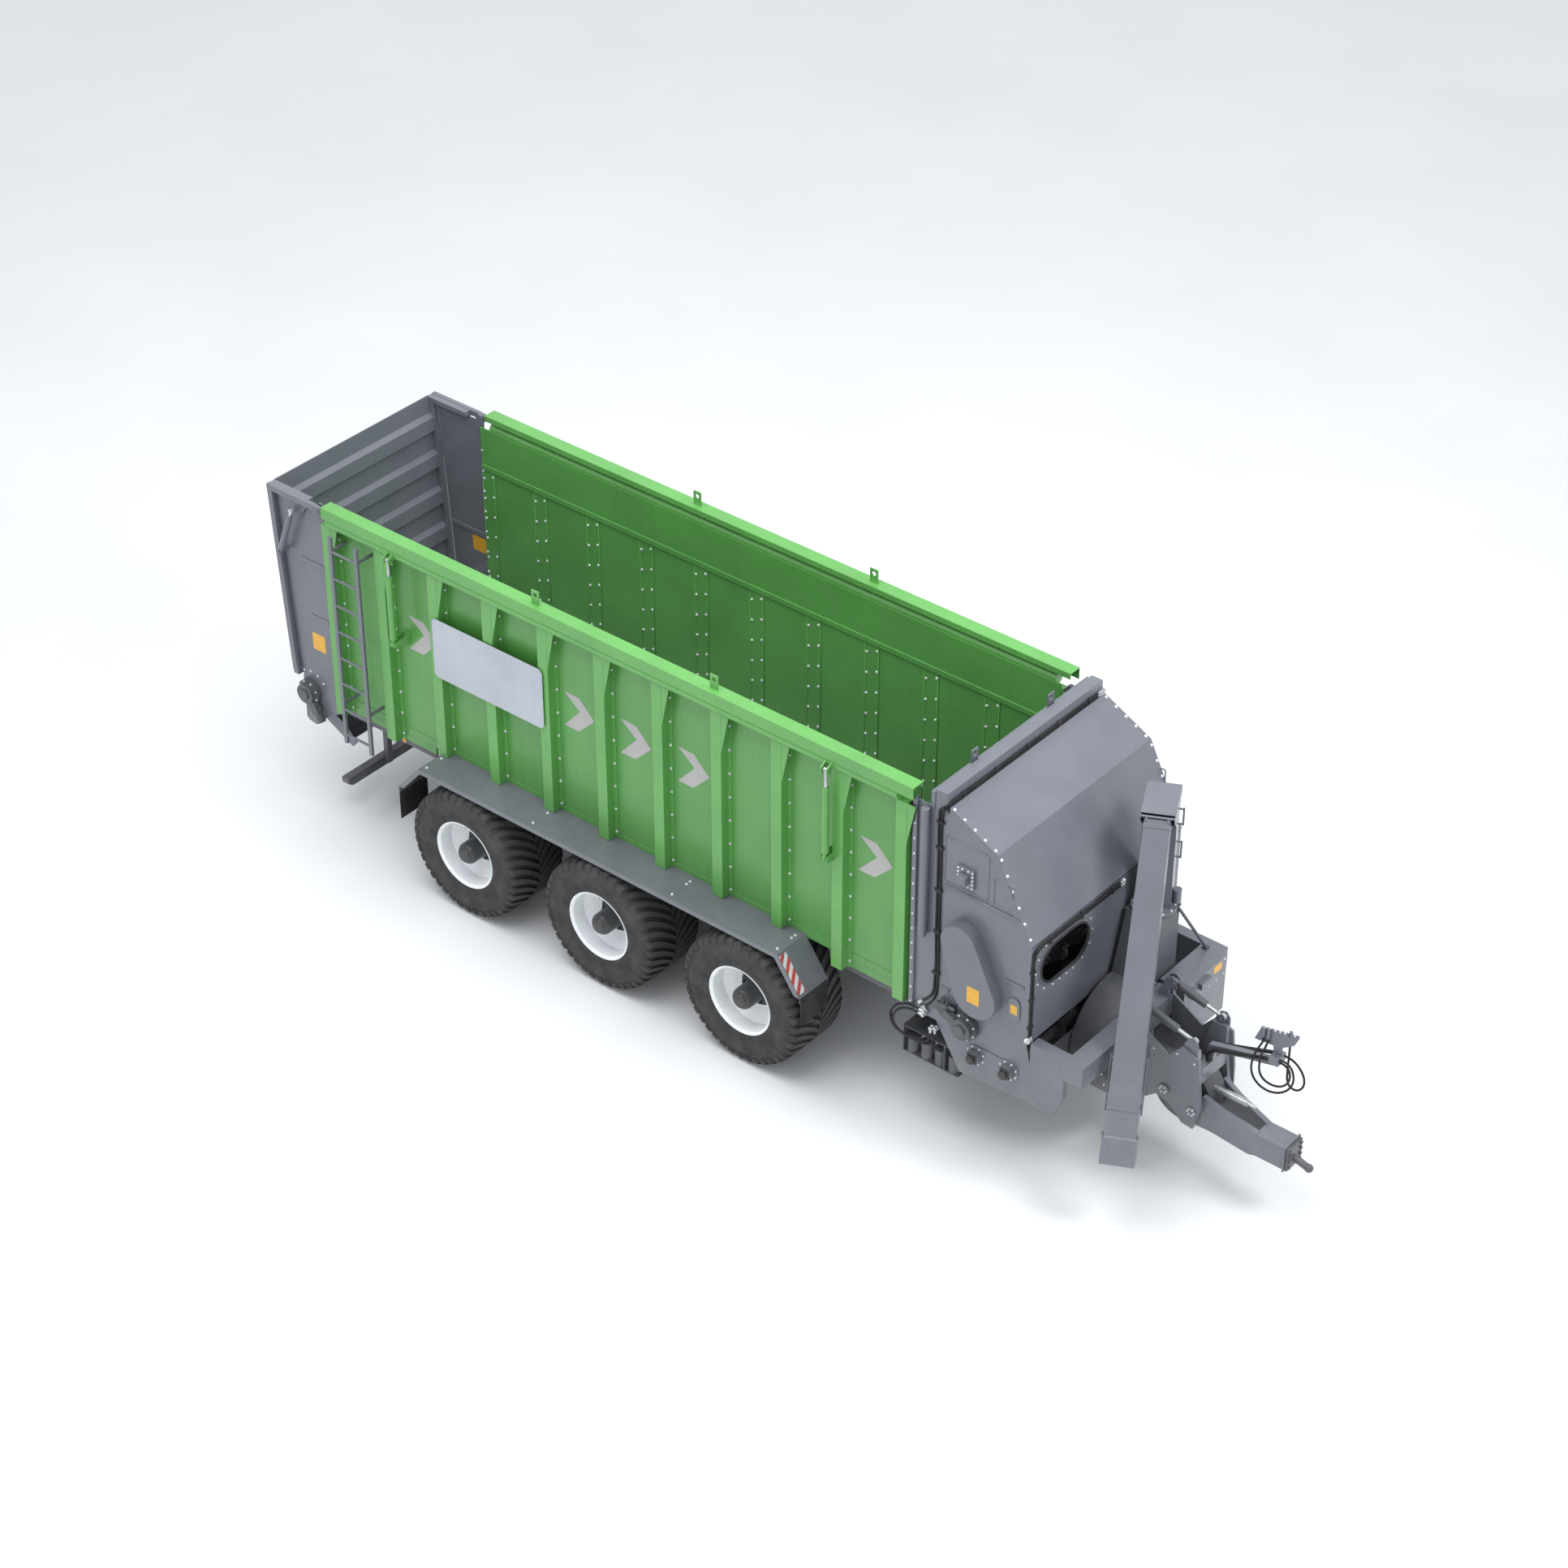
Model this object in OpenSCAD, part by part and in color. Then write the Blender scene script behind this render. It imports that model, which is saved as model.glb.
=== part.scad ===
// Three-axle silage transfer wagon: open green load box with a moving floor,
// grey tailgate, milling and auger unit, blower with a folding chute, sprung drawbar.
// Millimetres. +X forward to the hitch, +Y to the wagon's left, +Z up, ground at z = 0.

/* [Body] */
// Half width to the outer face of the side sheets
wall_y = 1050; // [1040:1:1056]
// Height of the top face of the side rails
rail_top = 3697; // [3690:1:3720]
// Distance from one side post to the next
post_pitch = 693; // [690:1:696]
// Width of a side post along the wagon
post_w = 120; // [100:2:130]
// Depth of a side post
post_depth = 100; // [90:1:104]
// Lowest point of the side sheets
wall_bottom = 1320; // [1310:1:1340]

/* [Wheels] */
// Outer diameter of a tyre
tyre_d = 1380; // [1372:1:1384]
// Width of a tyre
tyre_w = 700; // [660:5:704]
// Distance from one axle to the next
axle_pitch = 1723; // [1715:1:1740]
// Outer faces of the tyres, measured from the centre line
tyre_outer_y = 1485; // [1480:1:1495]
// Radius of the rim lip
rim_r = 362; // [350:1:366]

/* [Tailgate] */
// Thickness of the tailgate's side frames
gate_frame_t = 44; // [40:1:46]
// Number of pressed ribs across the tailgate
gate_ribs = 5; // [4:1:6]

/* [Chute] */
// Length of the folding chute from its hinge to the end flap
chute_len = 2760; // [2700:10:2780]
// Thickness of the chute
chute_t = 190; // [180:1:200]
// Width of the chute at its hinge end
chute_w0 = 226; // [216:1:236]
// Width of the chute at its free end
chute_w1 = 286; // [270:1:290]

/* [Drawbar] */
// Diameter of the coupling ball
ball_d = 80; // [79:1:81]
// Height of the coupling ball's centre above the ground
ball_z = 611; // [605:1:618]

/* [Hidden] */
$fn = 64;
fit = 0.05;            // running clearance on a radius

// ---- load box
post_count = 11;
post0_x = -4844;       // front corner of the rearmost post
post_y = wall_y + post_depth;
sheet = 6;
floor_t = 6;
box_rear = post0_x - post_w;
box_front = 2130;
rail_w = 139;
rail_out = 1190;
rail_rear = -4910;
rail_front = 2176;
tube_r = 60;
tube_y = 1130;
tube_z = 3540;
tube_rear = -4870;
tube_front = 2000;
post_top = 3479;
sill_y = wall_y - sheet - 12;
floor_z = 1465;        // top face of the floor plate
sill_z = 1262;
seam = 0.3;            // between bars that are bolted together
rib_z = 3090;          // rib inside the box under the upper board
flange_w = 40;
rail_eye_x = [-2210, -85];
floor_y = 1030;
chain_r = 90;          // outer radius of the floor chain where it turns
chain_y = [-740, -250, 250, 740];

// ---- chassis
frame_top = 1260;
frame_h = 250;
frame_y0 = 420;
frame_y1 = 500;
frame_rear = -5250;
frame_front = 2640;

// ---- wheels
axle_z = tyre_d / 2;
axle_x = [-2980, -2980 + axle_pitch, -2980 + 2 * axle_pitch];
tyre_inner_y = tyre_outer_y - tyre_w;
spindle_r = 45;
hub_r = 105;
hub_inner_y = 820;
hub_outer_y = 1452;
arch_x = [axle_x[0] - tyre_d / 2 - 30, axle_x[2] + tyre_d / 2 + 30];
arch_z = 1400;         // the load box stays above this over the wheels
disc_y = 1180;         // the wheel disc sits deep inside the rim

// ---- side rail cylinders
lift_x = [-4000, 1260];
lever_y = 1226;
lever_z = 3500;
lift_pin_z = 2560;
ladder_x = [-4742, -4400];

// ---- tailgate
gate_hinge_x = -5010;
gate_hinge_z = 3600;
gate_top_x = -5685;
gate_low_x = -5545;
gate_top_z = 3650;
gate_low_z = 1600;
gate_ram_low = [-5524, 2967];
gate_ram_high = [-5318, 3503];
plate_y = 1090;        // inner face of the fixed rear side plates
plate_t = 10;

// ---- milling unit
mill_y = 1100;         // outer face of the milling unit's side plates
mill_t = 12;
hood_a = [2510, 3610];
hood_b = [3020, 3352];
hood_c = [3407, 2560];
panel_low_z = 1500;
roller_a = [2720, 2300];
roller_b = [2900, 1840];
auger_a = [2868, 1103];
auger_b = [3221, 1118];
floor_shaft_front = [2760, 1390];
floor_shaft_rear = [-5350, 1390];

// ---- blower and chute
drum_y = 27;
drum_z = 1065;
drum_r = 551;
drum_x0 = 3450;
drum_x1 = 3780;
neck_top = 2210;
turret = [3618, 412];
ring_z = 2240;
turret_top = 3380;
chute_azimuth = -62.5;
chute_hinge_r = 250;
chute_lean = 31;
flap_len = 250;

// ---- hoses, each a list of points along its route
rack_hose_r = 10;
rack_route_a = [
    [5270, -28, 1640], [5330, -28, 1640], [5385, -32, 1615], [5420, -40, 1560],
    [5430, -50, 1490], [5405, -60, 1415], [5345, -70, 1350], [5265, -78, 1312],
    [5180, -84, 1308], [5105, -88, 1340], [5055, -90, 1400], [5035, -90, 1475],
    [5038, -90, 1550], [5050, -82, 1620], [5068, -55, 1690], [5085, -22, 1750],
    [5085, -22, 1800]];
rack_route_b = [
    [5270, -28, 1612], [5300, -28, 1612], [5335, -30, 1604], [5366, -34, 1584],
    [5386, -40, 1552], [5392, -47, 1512], [5384, -54, 1470], [5360, -62, 1430],
    [5322, -70, 1402], [5275, -77, 1388], [5225, -82, 1388], [5178, -86, 1402],
    [5141, -89, 1432], [5120, -91, 1474], [5112, -91, 1525], [5111, -89, 1580],
    [5114, -83, 1635], [5120, -68, 1680], [5128, -44, 1722], [5132, -27, 1760],
    [5133, -22, 1785], [5133, -22, 1800]];
rack_route_c = [
    [5270, 55, 1630], [5305, 55, 1630], [5345, 55, 1622], [5390, 55, 1600],
    [5430, 54, 1565], [5462, 53, 1520], [5480, 51, 1470], [5480, 48, 1420],
    [5462, 45, 1375], [5430, 41, 1345], [5395, 38, 1337], [5360, 35, 1350],
    [5335, 33, 1382], [5324, 31, 1425], [5322, 29, 1500], [5322, 27, 1580],
    [5323, 26, 1660], [5325, 24, 1730], [5325, 22, 1770], [5325, 22, 1810]];
line_r = 11;
line_routes = [
    // down the side of the milling unit
    [[2402, -1113, 3500], [2402, -1113, 2900], [2402, -1113, 2300], [2402, -1113, 1700],
     [2385, -1113, 1560], [2330, -1113, 1470], [2260, -1113, 1400]],
    [[2430, -1113, 3500], [2430, -1113, 2900], [2430, -1113, 2300], [2430, -1113, 1680],
     [2414, -1113, 1540], [2360, -1113, 1430], [2290, -1113, 1350]],
    // along the top edge of the front panel and down its corner
    [[3421, 200, 2486], [3421, -300, 2493], [3421, -800, 2503], [3421, -1000, 2500],
     [3421, -1055, 2470], [3421, -1076, 2410], [3421, -1078, 2200], [3421, -1078, 1800],
     [3421, -1078, 1560]],
    [[3421, 200, 2516], [3421, -300, 2521], [3421, -800, 2530], [3421, -1010, 2527],
     [3421, -1075, 2490], [3421, -1102, 2410], [3421, -1105, 2200], [3421, -1105, 1800],
     [3421, -1105, 1560]],
    // loops below the front floor drive
    [[2300, -1142, 1330], [2200, -1142, 1335], [2080, -1142, 1300], [1990, -1142, 1220],
     [1950, -1142, 1110], [1985, -1140, 1010], [2080, -1135, 960], [2200, -1130, 945],
     [2310, -1128, 955], [2390, -1128, 1000], [2430, -1128, 1080], [2435, -1128, 1170]],
    [[2300, -1154, 1300], [2205, -1156, 1303], [2100, -1158, 1270], [2025, -1160, 1200],
     [1990, -1162, 1110], [2020, -1160, 1030], [2100, -1157, 990], [2200, -1152, 978],
     [2300, -1150, 990], [2365, -1150, 1030], [2398, -1150, 1100], [2402, -1150, 1175]]];
bundle_r = 18;
bundle_route = [
    [4576, 52, 1280], [4576, 52, 1305], [4581, 52, 1342], [4595, 52, 1377],
    [4618, 52, 1407], [4648, 52, 1430], [4675, 52, 1442], [4745, 52, 1466],
    [4815, 52, 1491], [4885, 52, 1516], [4955, 52, 1541], [5020, 52, 1564],
    [5075, 52, 1585], [5115, 52, 1600], [5150, 52, 1610], [5180, 52, 1610]];

// ---- drawbar
bar_pivot = [4297, 956];
bar_pin = [4587, 847];
ram_y = 215;
ram_rear = [4030, 1700];
ram_front = [4530, 1572];
nose_x = 5450;
ball_x = 5645;
case_at = [4385, 860];

// ---------------------------------------------------------------- helpers

module block(x0, x1, y0, y1, z0, z1) {
    translate([x0, y0, z0]) cube([x1 - x0, y1 - y0, z1 - z0]);
}

// The shape and its mirror image on the other side of the wagon
module both_sides() {
    children();
    mirror([0, 1, 0]) children();
}

// An outline in the XZ plane, given thickness from y0 to y1
module xz_plate(y0, y1, points) {
    translate([0, y1, 0]) rotate([90, 0, 0]) linear_extrude(height = y1 - y0) polygon(points);
}

// An outline in the YZ plane, given length from x0 to x1
module yz_bar(x0, x1, points) {
    translate([x0, 0, 0]) rotate([90, 0, 90]) linear_extrude(height = x1 - x0) polygon(points);
}

module rod_y(x, z, r, y0, y1) {
    translate([x, y1, z]) rotate([90, 0, 0]) cylinder(r = r, h = y1 - y0);
}

module rod_x(y, z, r, x0, x1) {
    translate([x0, y, z]) rotate([0, 90, 0]) cylinder(r = r, h = x1 - x0);
}

module rod_z(x, y, r, z0, z1) {
    translate([x, y, z0]) cylinder(r = r, h = z1 - z0);
}

// A round bar from p to q
module bar(p, q, r) {
    d = q - p;
    translate(p) rotate([0, acos(d[2] / norm(d)), atan2(d[1], d[0])]) cylinder(r = r, h = norm(d));
}

// X of the tailgate's rear line at height z
function gate_x(z) = gate_top_x
    + (gate_top_z - z) * (gate_low_x - gate_top_x) / (gate_top_z - gate_low_z);

// ---------------------------------------------------------------- chassis

module chassis_frame() {
    color("DimGray") {
        both_sides() {
            difference() {
                block(frame_rear, frame_front, frame_y0, frame_y1, frame_top - frame_h, frame_top);
                block(frame_rear + 10, frame_front - 10, frame_y0 + 10, frame_y1 - 10,
                      frame_top - frame_h + 10, frame_top - 10);
            }
            sill();
        }
        for (x = [-5200, -3900, -2118, -395, 1330, 2500])
            cross_member(x);
        for (k = [0:post_count - 1]) {
            x = post0_x + k * post_pitch;
            reach = (k >= 2 && k <= 8) ? tyre_inner_y - 10 : sill_y - seam;
            block(x - 80, x - 20, -reach, reach, frame_top + seam, frame_top + 30);
        }
        bumper_bar();
    }
}

// Plate along the load box, cut away above the wheels
module sill() {
    difference() {
        block(box_rear, box_front, sill_y, wall_y - sheet, sill_z, floor_z - floor_t);
        wheel_space();
    }
}

module wheel_space() {
    block(arch_x[0], arch_x[1], tyre_inner_y, tyre_outer_y, 0, arch_z);
}

// Hollow bar between the two frame beams
module cross_member(x) {
    end = frame_y0 - seam;
    difference() {
        block(x - 50, x + 50, -end, end, frame_top - 200, frame_top - 20);
        block(x - 42, x + 42, 8 - end, end - 8, frame_top - 192, frame_top - 28);
    }
}

// Underrun bar at the rear, on two posts below the frame
module bumper_bar() {
    yz_bar(-5130, -5040, [[-1010, 330], [-950, 290], [950, 290], [1010, 330],
                          [1010, 390], [-1010, 390]]);
    both_sides() {
        block(-5050, -4990, 430, 490, 330, frame_top - frame_h - seam);
        block(-5060, -5040, 430, 490, 330, 390);
    }
}

module suspension() {
    color("DimGray")
    for (x = axle_x) {
        difference() {
            block(x - 75, x + 75, -690, 690, axle_z - 75, axle_z + 75);
            block(x - 63, x + 63, -680, 680, axle_z - 63, axle_z + 63);
        }
        both_sides() {
            xz_plate(430, 490, [[x - 90, axle_z + 75], [x + 90, axle_z + 75], [x + 420, 900],
                                [x + 470, frame_top - frame_h], [x + 330, frame_top - frame_h],
                                [x - 90, axle_z + 150]]);
            rod_z(x - 20, 460, 48, axle_z + 150, frame_top - frame_h);
            rod_y(x, axle_z, spindle_r, 690, hub_outer_y - 40);
            rod_y(x, axle_z, 90, 690, hub_inner_y - 5);
        }
    }
}

module hopper_floor() {
    color("Gray") {
        block(floor_shaft_rear[0] + 78, floor_shaft_front[0] - 78, -floor_y, floor_y,
              floor_z - floor_t, floor_z);
        for (k = [0:post_count - 2])
            block(post0_x + k * post_pitch + 200, post0_x + k * post_pitch + 260,
                  -986, 986, floor_z - 50, floor_z - floor_t);
    }
}

// Endless chains round the sprockets, joined by cross slats
module floor_chain() {
    z = floor_shaft_front[1];
    color("Silver") {
        for (y = chain_y)
            difference() {
                chain_loop(y - 18, y + 18, chain_r);
                chain_loop(y - 20, y + 20, chain_r - 14);
            }
        both_sides()
            for (x = [-5080:498:2400])
                for (s = [-1, 1])
                    block(x, x + 50, 215, tyre_inner_y - 10,
                          z + min(s * 76.5, s * 99), z + max(s * 76.5, s * 99));
    }
}

module chain_loop(y0, y1, r) {
    rod_y(floor_shaft_rear[0], floor_shaft_rear[1], r, y0, y1);
    rod_y(floor_shaft_front[0], floor_shaft_front[1], r, y0, y1);
    block(floor_shaft_rear[0], floor_shaft_front[0], y0, y1,
          floor_shaft_front[1] - r, floor_shaft_front[1] + r);
}

module side_wall() {
    color("ForestGreen") {
        difference() {
            block(box_rear, box_front, wall_y - sheet, wall_y, wall_bottom, post_top);
            wheel_space();
        }
        block(box_rear, box_front - 40, wall_y - sheet - 18, wall_y - sheet, rib_z, rib_z + 55);
        for (k = [0:post_count - 1]) {
            x = post0_x + k * post_pitch - post_w;
            block(x, x + post_w + flange_w, wall_y - sheet - 4, wall_y - sheet, floor_z + 60, rib_z);
        }
        for (k = [0:post_count - 2]) {
            x = post0_x + k * post_pitch + flange_w + 2;
            block(x, x + post_pitch - post_w - flange_w - 4, wall_y, wall_y + 6, 1412, 1490);
        }
        // the upper board closes the space up to the rail
        block(box_rear, box_front - 40, wall_y - sheet - 8, wall_y - sheet, rib_z + 55, 3560);
    }
}

module side_wall_right() { mirror([0, 1, 0]) side_wall(); }

module side_wall_left() { side_wall(); }

module side_posts() {
    for (k = [0:post_count - 1]) {
        x1 = post0_x + k * post_pitch;
        x0 = x1 - post_w;
        low = (k >= 2 && k <= 8) ? 1443 : wall_bottom;
        difference() {
            block(x0, x1, wall_y, post_y, low, post_top);
            block(x0 + 7, x1 - 7, wall_y - 1, post_y - 7, low + 7, post_top - 7);
        }
        block(x1, x1 + flange_w, wall_y, wall_y + 8, low, post_top);
        xz_plate(post_y - 10, post_y - 2,
                 [[x1, post_top], [x1 + 90, post_top], [x1 + 70, post_top - 90],
                  [x1 + 30, post_top - 280], [x1, post_top - 430]]);
        if (x0 > tube_rear && x1 < tube_front)
            difference() {
                block(x0 + 30, x1 - 30, tube_y - 70, post_y, post_top, tube_z - 8);
                rod_x(tube_y, tube_z, tube_r + fit, x0, x1);
            }
    }
}

module side_posts_right() {
    color("LimeGreen") mirror([0, 1, 0]) {
        side_posts();
        lift_brackets();
        board_brackets();
    }
}

module side_posts_left() {
    color("LimeGreen") {
        side_posts();
        board_brackets();
    }
}

// ---------------------------------------------------------------- tilting side rails

// Folded rail on a torsion tube, with eyes for tying a cover sheet
module side_rail() {
    z0 = rail_top - 120;
    inner = rail_out - rail_w;
    yz_bar(rail_rear, rail_front,
           [[rail_out, z0], [rail_out, rail_top], [inner, rail_top], [inner, rail_top - 60],
            [inner + 6, rail_top - 60], [inner + 6, rail_top - 6], [rail_out - 6, rail_top - 6],
            [rail_out - 6, z0]]);
    difference() {
        union() {
            rod_x(tube_y, tube_z, tube_r, tube_rear, tube_front);
            for (k = [1:post_count - 2])
                block(post0_x + k * post_pitch - 80, post0_x + k * post_pitch - 40,
                      tube_y - 40, tube_y + 40, tube_z + 40, rail_top - 6);
        }
        rod_x(tube_y, tube_z, tube_r - 8, tube_rear + 10, tube_front - 10);
    }
    for (x = rail_eye_x)
        difference() {
            block(x - 45, x + 45, 1114, 1126, rail_top, rail_top + 145);
            rod_y(x, rail_top + 95, 24, 1100, 1140);
        }
}

// Lever cheeks that the cylinder rods push on
module rail_levers() {
    for (x = lift_x)
        for (s = [-38, 26])
            difference() {
                yz_bar(x + s, x + s + 12,
                       [[tube_y + 45, tube_z - 22], [lever_y - 14, lever_z - 34],
                        [lever_y + 32, lever_z - 30], [lever_y + 32, lever_z + 30],
                        [tube_y + 45, tube_z + 30]]);
                rod_x(lever_y, lever_z, 18, x - 60, x + 60);
            }
}

module side_rail_right() {
    color("LightGreen") mirror([0, 1, 0]) {
        side_rail();
        rail_levers();
    }
}

module side_rail_left() { color("LightGreen") side_rail(); }

// Brackets on the wall, with the lower pins of the rail cylinders
module lift_brackets() {
    for (x = lift_x) {
        for (s = [-44, 32])
            yz_bar(x + s, x + s + 12,
                   [[wall_y, lift_pin_z - 70], [lever_y + 20, lift_pin_z - 30],
                    [lever_y + 34, lift_pin_z], [lever_y + 20, lift_pin_z + 30],
                    [wall_y, lift_pin_z + 45]]);
        block(x - 44, x + 44, wall_y, wall_y + 12, lift_pin_z - 80, lift_pin_z + 60);
        rod_x(lever_y, lift_pin_z, 15, x - 50, x + 50);
    }
}

module lift_barrels() {
    color("LimeGreen") mirror([0, 1, 0])
    for (x = lift_x)
        difference() {
            union() {
                rod_z(x, lever_y, 34, lift_pin_z + 60, 3310);
                rod_x(lever_y, lift_pin_z, 30, x - 20, x + 20);
                block(x - 20, x + 20, lever_y - 16, lever_y + 16, lift_pin_z, lift_pin_z + 62);
            }
            rod_x(lever_y, lift_pin_z, 15 + fit, x - 30, x + 30);
            rod_z(x, lever_y, 16 + fit, lift_pin_z + 90, 3320);
        }
}

module lift_rods() {
    color("White") mirror([0, 1, 0])
    for (x = lift_x) {
        rod_z(x, lever_y, 16, 2760, lever_z - 14);
        rod_x(lever_y, lever_z, 20, x - 20, x + 20);
        rod_x(lever_y, lever_z, 10, x - 44, x + 44);
    }
}

// ---------------------------------------------------------------- side fittings

module ladder() {
    color("Gray") {
        for (x = ladder_x)
            block(x - 20, x + 20, -1266, -1238, 1110, 3470);
        for (k = [0:7])
            rod_x(-1252, 1210 + 300 * k, 13, ladder_x[0] + 20 + seam, ladder_x[1] - 20 - seam);
        for (x = ladder_x)
            for (z = [1560, 3300])
                block(x - 12, x + 12, -1238 + seam, -wall_y, z, z + 24);
    }
}

module fenders() {
    y0 = wall_y + 6;
    color("Gray") both_sides() {
        xz_plate(y0, 1450,
                 [[-3550, 1440], [900, 1440], [1164, 1064], [1164, 1000], [1158, 1000],
                  [1158, 1060], [897, 1434], [-3547, 1434], [-3830, 1106], [-3830, 1040],
                  [-3836, 1040], [-3836, 1110]]);
        xz_plate(1450, 1456,
                 [[-3550, 1440], [900, 1440], [1164, 1064], [1100, 1064], [868, 1390],
                  [-3530, 1390], [-3775, 1110], [-3836, 1110]]);
        // hangers below the top sheet
        for (x = [-3500, -2118, -395, 850])
            block(x - 20, x + 20, y0, 1440, 1404, 1434);
    }
}

module mud_flaps() {
    color("Black")
    both_sides() {
        block(1164, 1172, 1070, 1446, 750, 1055);
        block(-3844, -3836, 1070, 1446, 720, 1105);
    }
}

module number_boards() {
    color("Silver")
    both_sides() difference() {
        block(-3530, -2130, post_y + 12, post_y + 18, 2375, 3030);
        for (x = [-3530, -2130])
            for (z = [2375, 3030])
                translate([x, post_y, z]) rotate([0, 45, 0]) cube([50, 60, 50], center = true);
    }
}

module board_brackets() {
    for (k = [2:3])
        for (z = [2450, 2930])
            block(post0_x + k * post_pitch - 100, post0_x + k * post_pitch - 20,
                  post_y, post_y + 12, z, z + 40);
}

// ---------------------------------------------------------------- rear end

module rear_frame() {
    lap = 4;               // pieces reach this far into what they are welded to
    outer = plate_y + plate_t;
    color("Gray") {
        both_sides() {
            difference() {
                xz_plate(plate_y, outer,
                         [[-4966, sill_z], [-4966, 3583], [gate_x(3583) + 92, 3583],
                          [gate_x(1600) + 92, 1600], [-5470, 1380], [-5440, 1000],
                          [-5330, 980], [-5110, 1190]]);
                rod_y(floor_shaft_rear[0], floor_shaft_rear[1], 30 + fit, 1000, 1200);
            }
            // hinge cheeks for the tailgate's arms
            xz_plate(plate_y - 12, plate_y + lap,
                     [[-5060, 3500], [-5060, 3630], [-5030, 3655], [-4990, 3655],
                      [-4970, 3630], [-4970, 3500]]);
            rod_y(gate_hinge_x, gate_hinge_z, 20, plate_y - 8, 1165);
            rod_y(gate_ram_low[0], gate_ram_low[1], 18, plate_y + lap, 1225);
            // stiffener, and the flange against the load box
            block(-5480, -4980, plate_y - 10, plate_y + lap, 2230, 2280);
            block(-4974, box_rear, wall_y - sheet, outer - 2, sill_z + 4, post_top);
        }
        block(-5468, -5458, -plate_y - lap, plate_y + lap, 1010, 1500);
        // sloping discharge sheet under the floor's rear end, and its side links
        xz_plate(-912 - lap, 912 + lap, [[-5440, 1236], [-5430, 1236], [-5180, 840], [-5062, 802],
                                         [-5058, 810], [-5176, 850], [-5422, 1242]]);
        both_sides()
            xz_plate(912, 927, [[-5462, 1100], [-5442, 980], [-5020, 760], [-4960, 830],
                                [-5100, 980], [-5300, 1080], [-5400, 1250], [-5462, 1250]]);
    }
}

module gate_frame() {
    y0 = 1108;
    y1 = y0 + gate_frame_t;
    both_sides() {
        difference() {
            union() {
                // upright and top arm
                xz_plate(y0, y1, [[gate_x(3650), 3650], [gate_low_x, gate_low_z - 20],
                                  [gate_low_x + 60, gate_low_z - 20], [gate_x(3590) + 60, 3590],
                                  [-5060, 3590], [-5060, 3560], [-5010, 3558], [-5010, 3642],
                                  [-5060, 3650]]);
                rod_y(gate_hinge_x, gate_hinge_z, 45, y0, y1);
            }
            rod_y(gate_hinge_x, gate_hinge_z, 20 + fit, y0 - 10, y1 + 10);
        }
        // gusset under the arm, with the stub that the ram pushes on
        xz_plate(y0 + 4, y0 + 16, [[-5600, 3600], [-5150, 3600], [-5260, 3450], [-5370, 3450]]);
        rod_y(gate_ram_high[0], gate_ram_high[1], 22, y0 + 10, 1176);
        // top tube, brace and inner upright
        block(gate_x(3640), gate_x(3640) + 520, 1040, y0 + 10, 3594, 3644);
        xz_plate(1054, 1078, [[-5130, 3600], [gate_x(3060) + 60, 3060],
                              [gate_x(3010) + 60, 3010], [-5200, 3600]]);
        xz_plate(1042, 1086, [[gate_x(3640) + 2, 3640], [gate_x(gate_low_z) + 2, gate_low_z - 10],
                              [gate_low_x + 80, gate_low_z - 10], [gate_x(3640) + 80, 3640]]);
    }
}

// Sheet with pressed ribs, between the side frames
module gate_panel() {
    pitch = (gate_top_z - gate_low_z) / gate_ribs;
    outer = [for (k = [0:gate_ribs - 1])
        let (z = gate_top_z - k * pitch)
        each [[gate_x(z), z], [gate_x(z - pitch * 0.45), z - pitch * 0.45],
              [gate_x(z - pitch * 0.55) + 45, z - pitch * 0.55],
              [gate_x(z - pitch * 0.9) + 45, z - pitch * 0.9]]];
    inner = [for (i = [len(outer) - 1:-1:0]) outer[i] + [8, 0]];
    xz_plate(-1050, 1050, concat(outer, [[gate_low_x, gate_low_z],
                                         [gate_low_x + 8, gate_low_z]], inner));
    block(gate_low_x + 4, gate_low_x + 70, -1148, 1148, gate_low_z - 60, gate_low_z + 4);
}

module tailgate() {
    color("Gray") {
        gate_frame();
        gate_panel();
    }
}

// Ram between two points in the XZ plane: the barrel end is p, the rod end is q
module ram_barrel(p, q, y, r, len, eye, pin) {
    a = atan2(q[1] - p[1], q[0] - p[0]);
    translate([p[0], y, p[1]]) rotate([0, -a, 0]) difference() {
        union() {
            translate([eye + 14, 0, 0]) rotate([0, 90, 0]) cylinder(r = r, h = len - eye - 14);
            rotate([90, 0, 0]) cylinder(r = eye, h = 36, center = true);
            translate([0, -18, -eye * 0.7]) cube([eye + 20, 36, eye * 1.4]);
        }
        rotate([90, 0, 0]) cylinder(r = pin + fit, h = 60, center = true);
        translate([eye + 30, 0, 0]) rotate([0, 90, 0]) cylinder(r = r * 0.5 + fit, h = len);
    }
}

// The rod's eye has a hole unless pin is 0
module ram_rod(p, q, y, r, start, eye, pin) {
    a = atan2(q[1] - p[1], q[0] - p[0]);
    d = norm(q - p);
    translate([p[0], y, p[1]]) rotate([0, -a, 0]) difference() {
        union() {
            translate([start, 0, 0]) rotate([0, 90, 0]) cylinder(r = r * 0.5, h = d - start - eye * 0.8);
            translate([d, 0, 0]) rotate([90, 0, 0]) cylinder(r = eye, h = 34, center = true);
        }
        if (pin > 0)
            translate([d, 0, 0]) rotate([90, 0, 0]) cylinder(r = pin, h = 60, center = true);
    }
}

module gate_barrels() {
    color("Gray")
    both_sides() ram_barrel(gate_ram_low, gate_ram_high, 1196, 30, 500, 30, 18);
}

module gate_rods() {
    color("Silver")
    both_sides() ram_rod(gate_ram_low, gate_ram_high, 1196, 30, 70, 26, 0);
}

// ---------------------------------------------------------------- wheels

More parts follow.
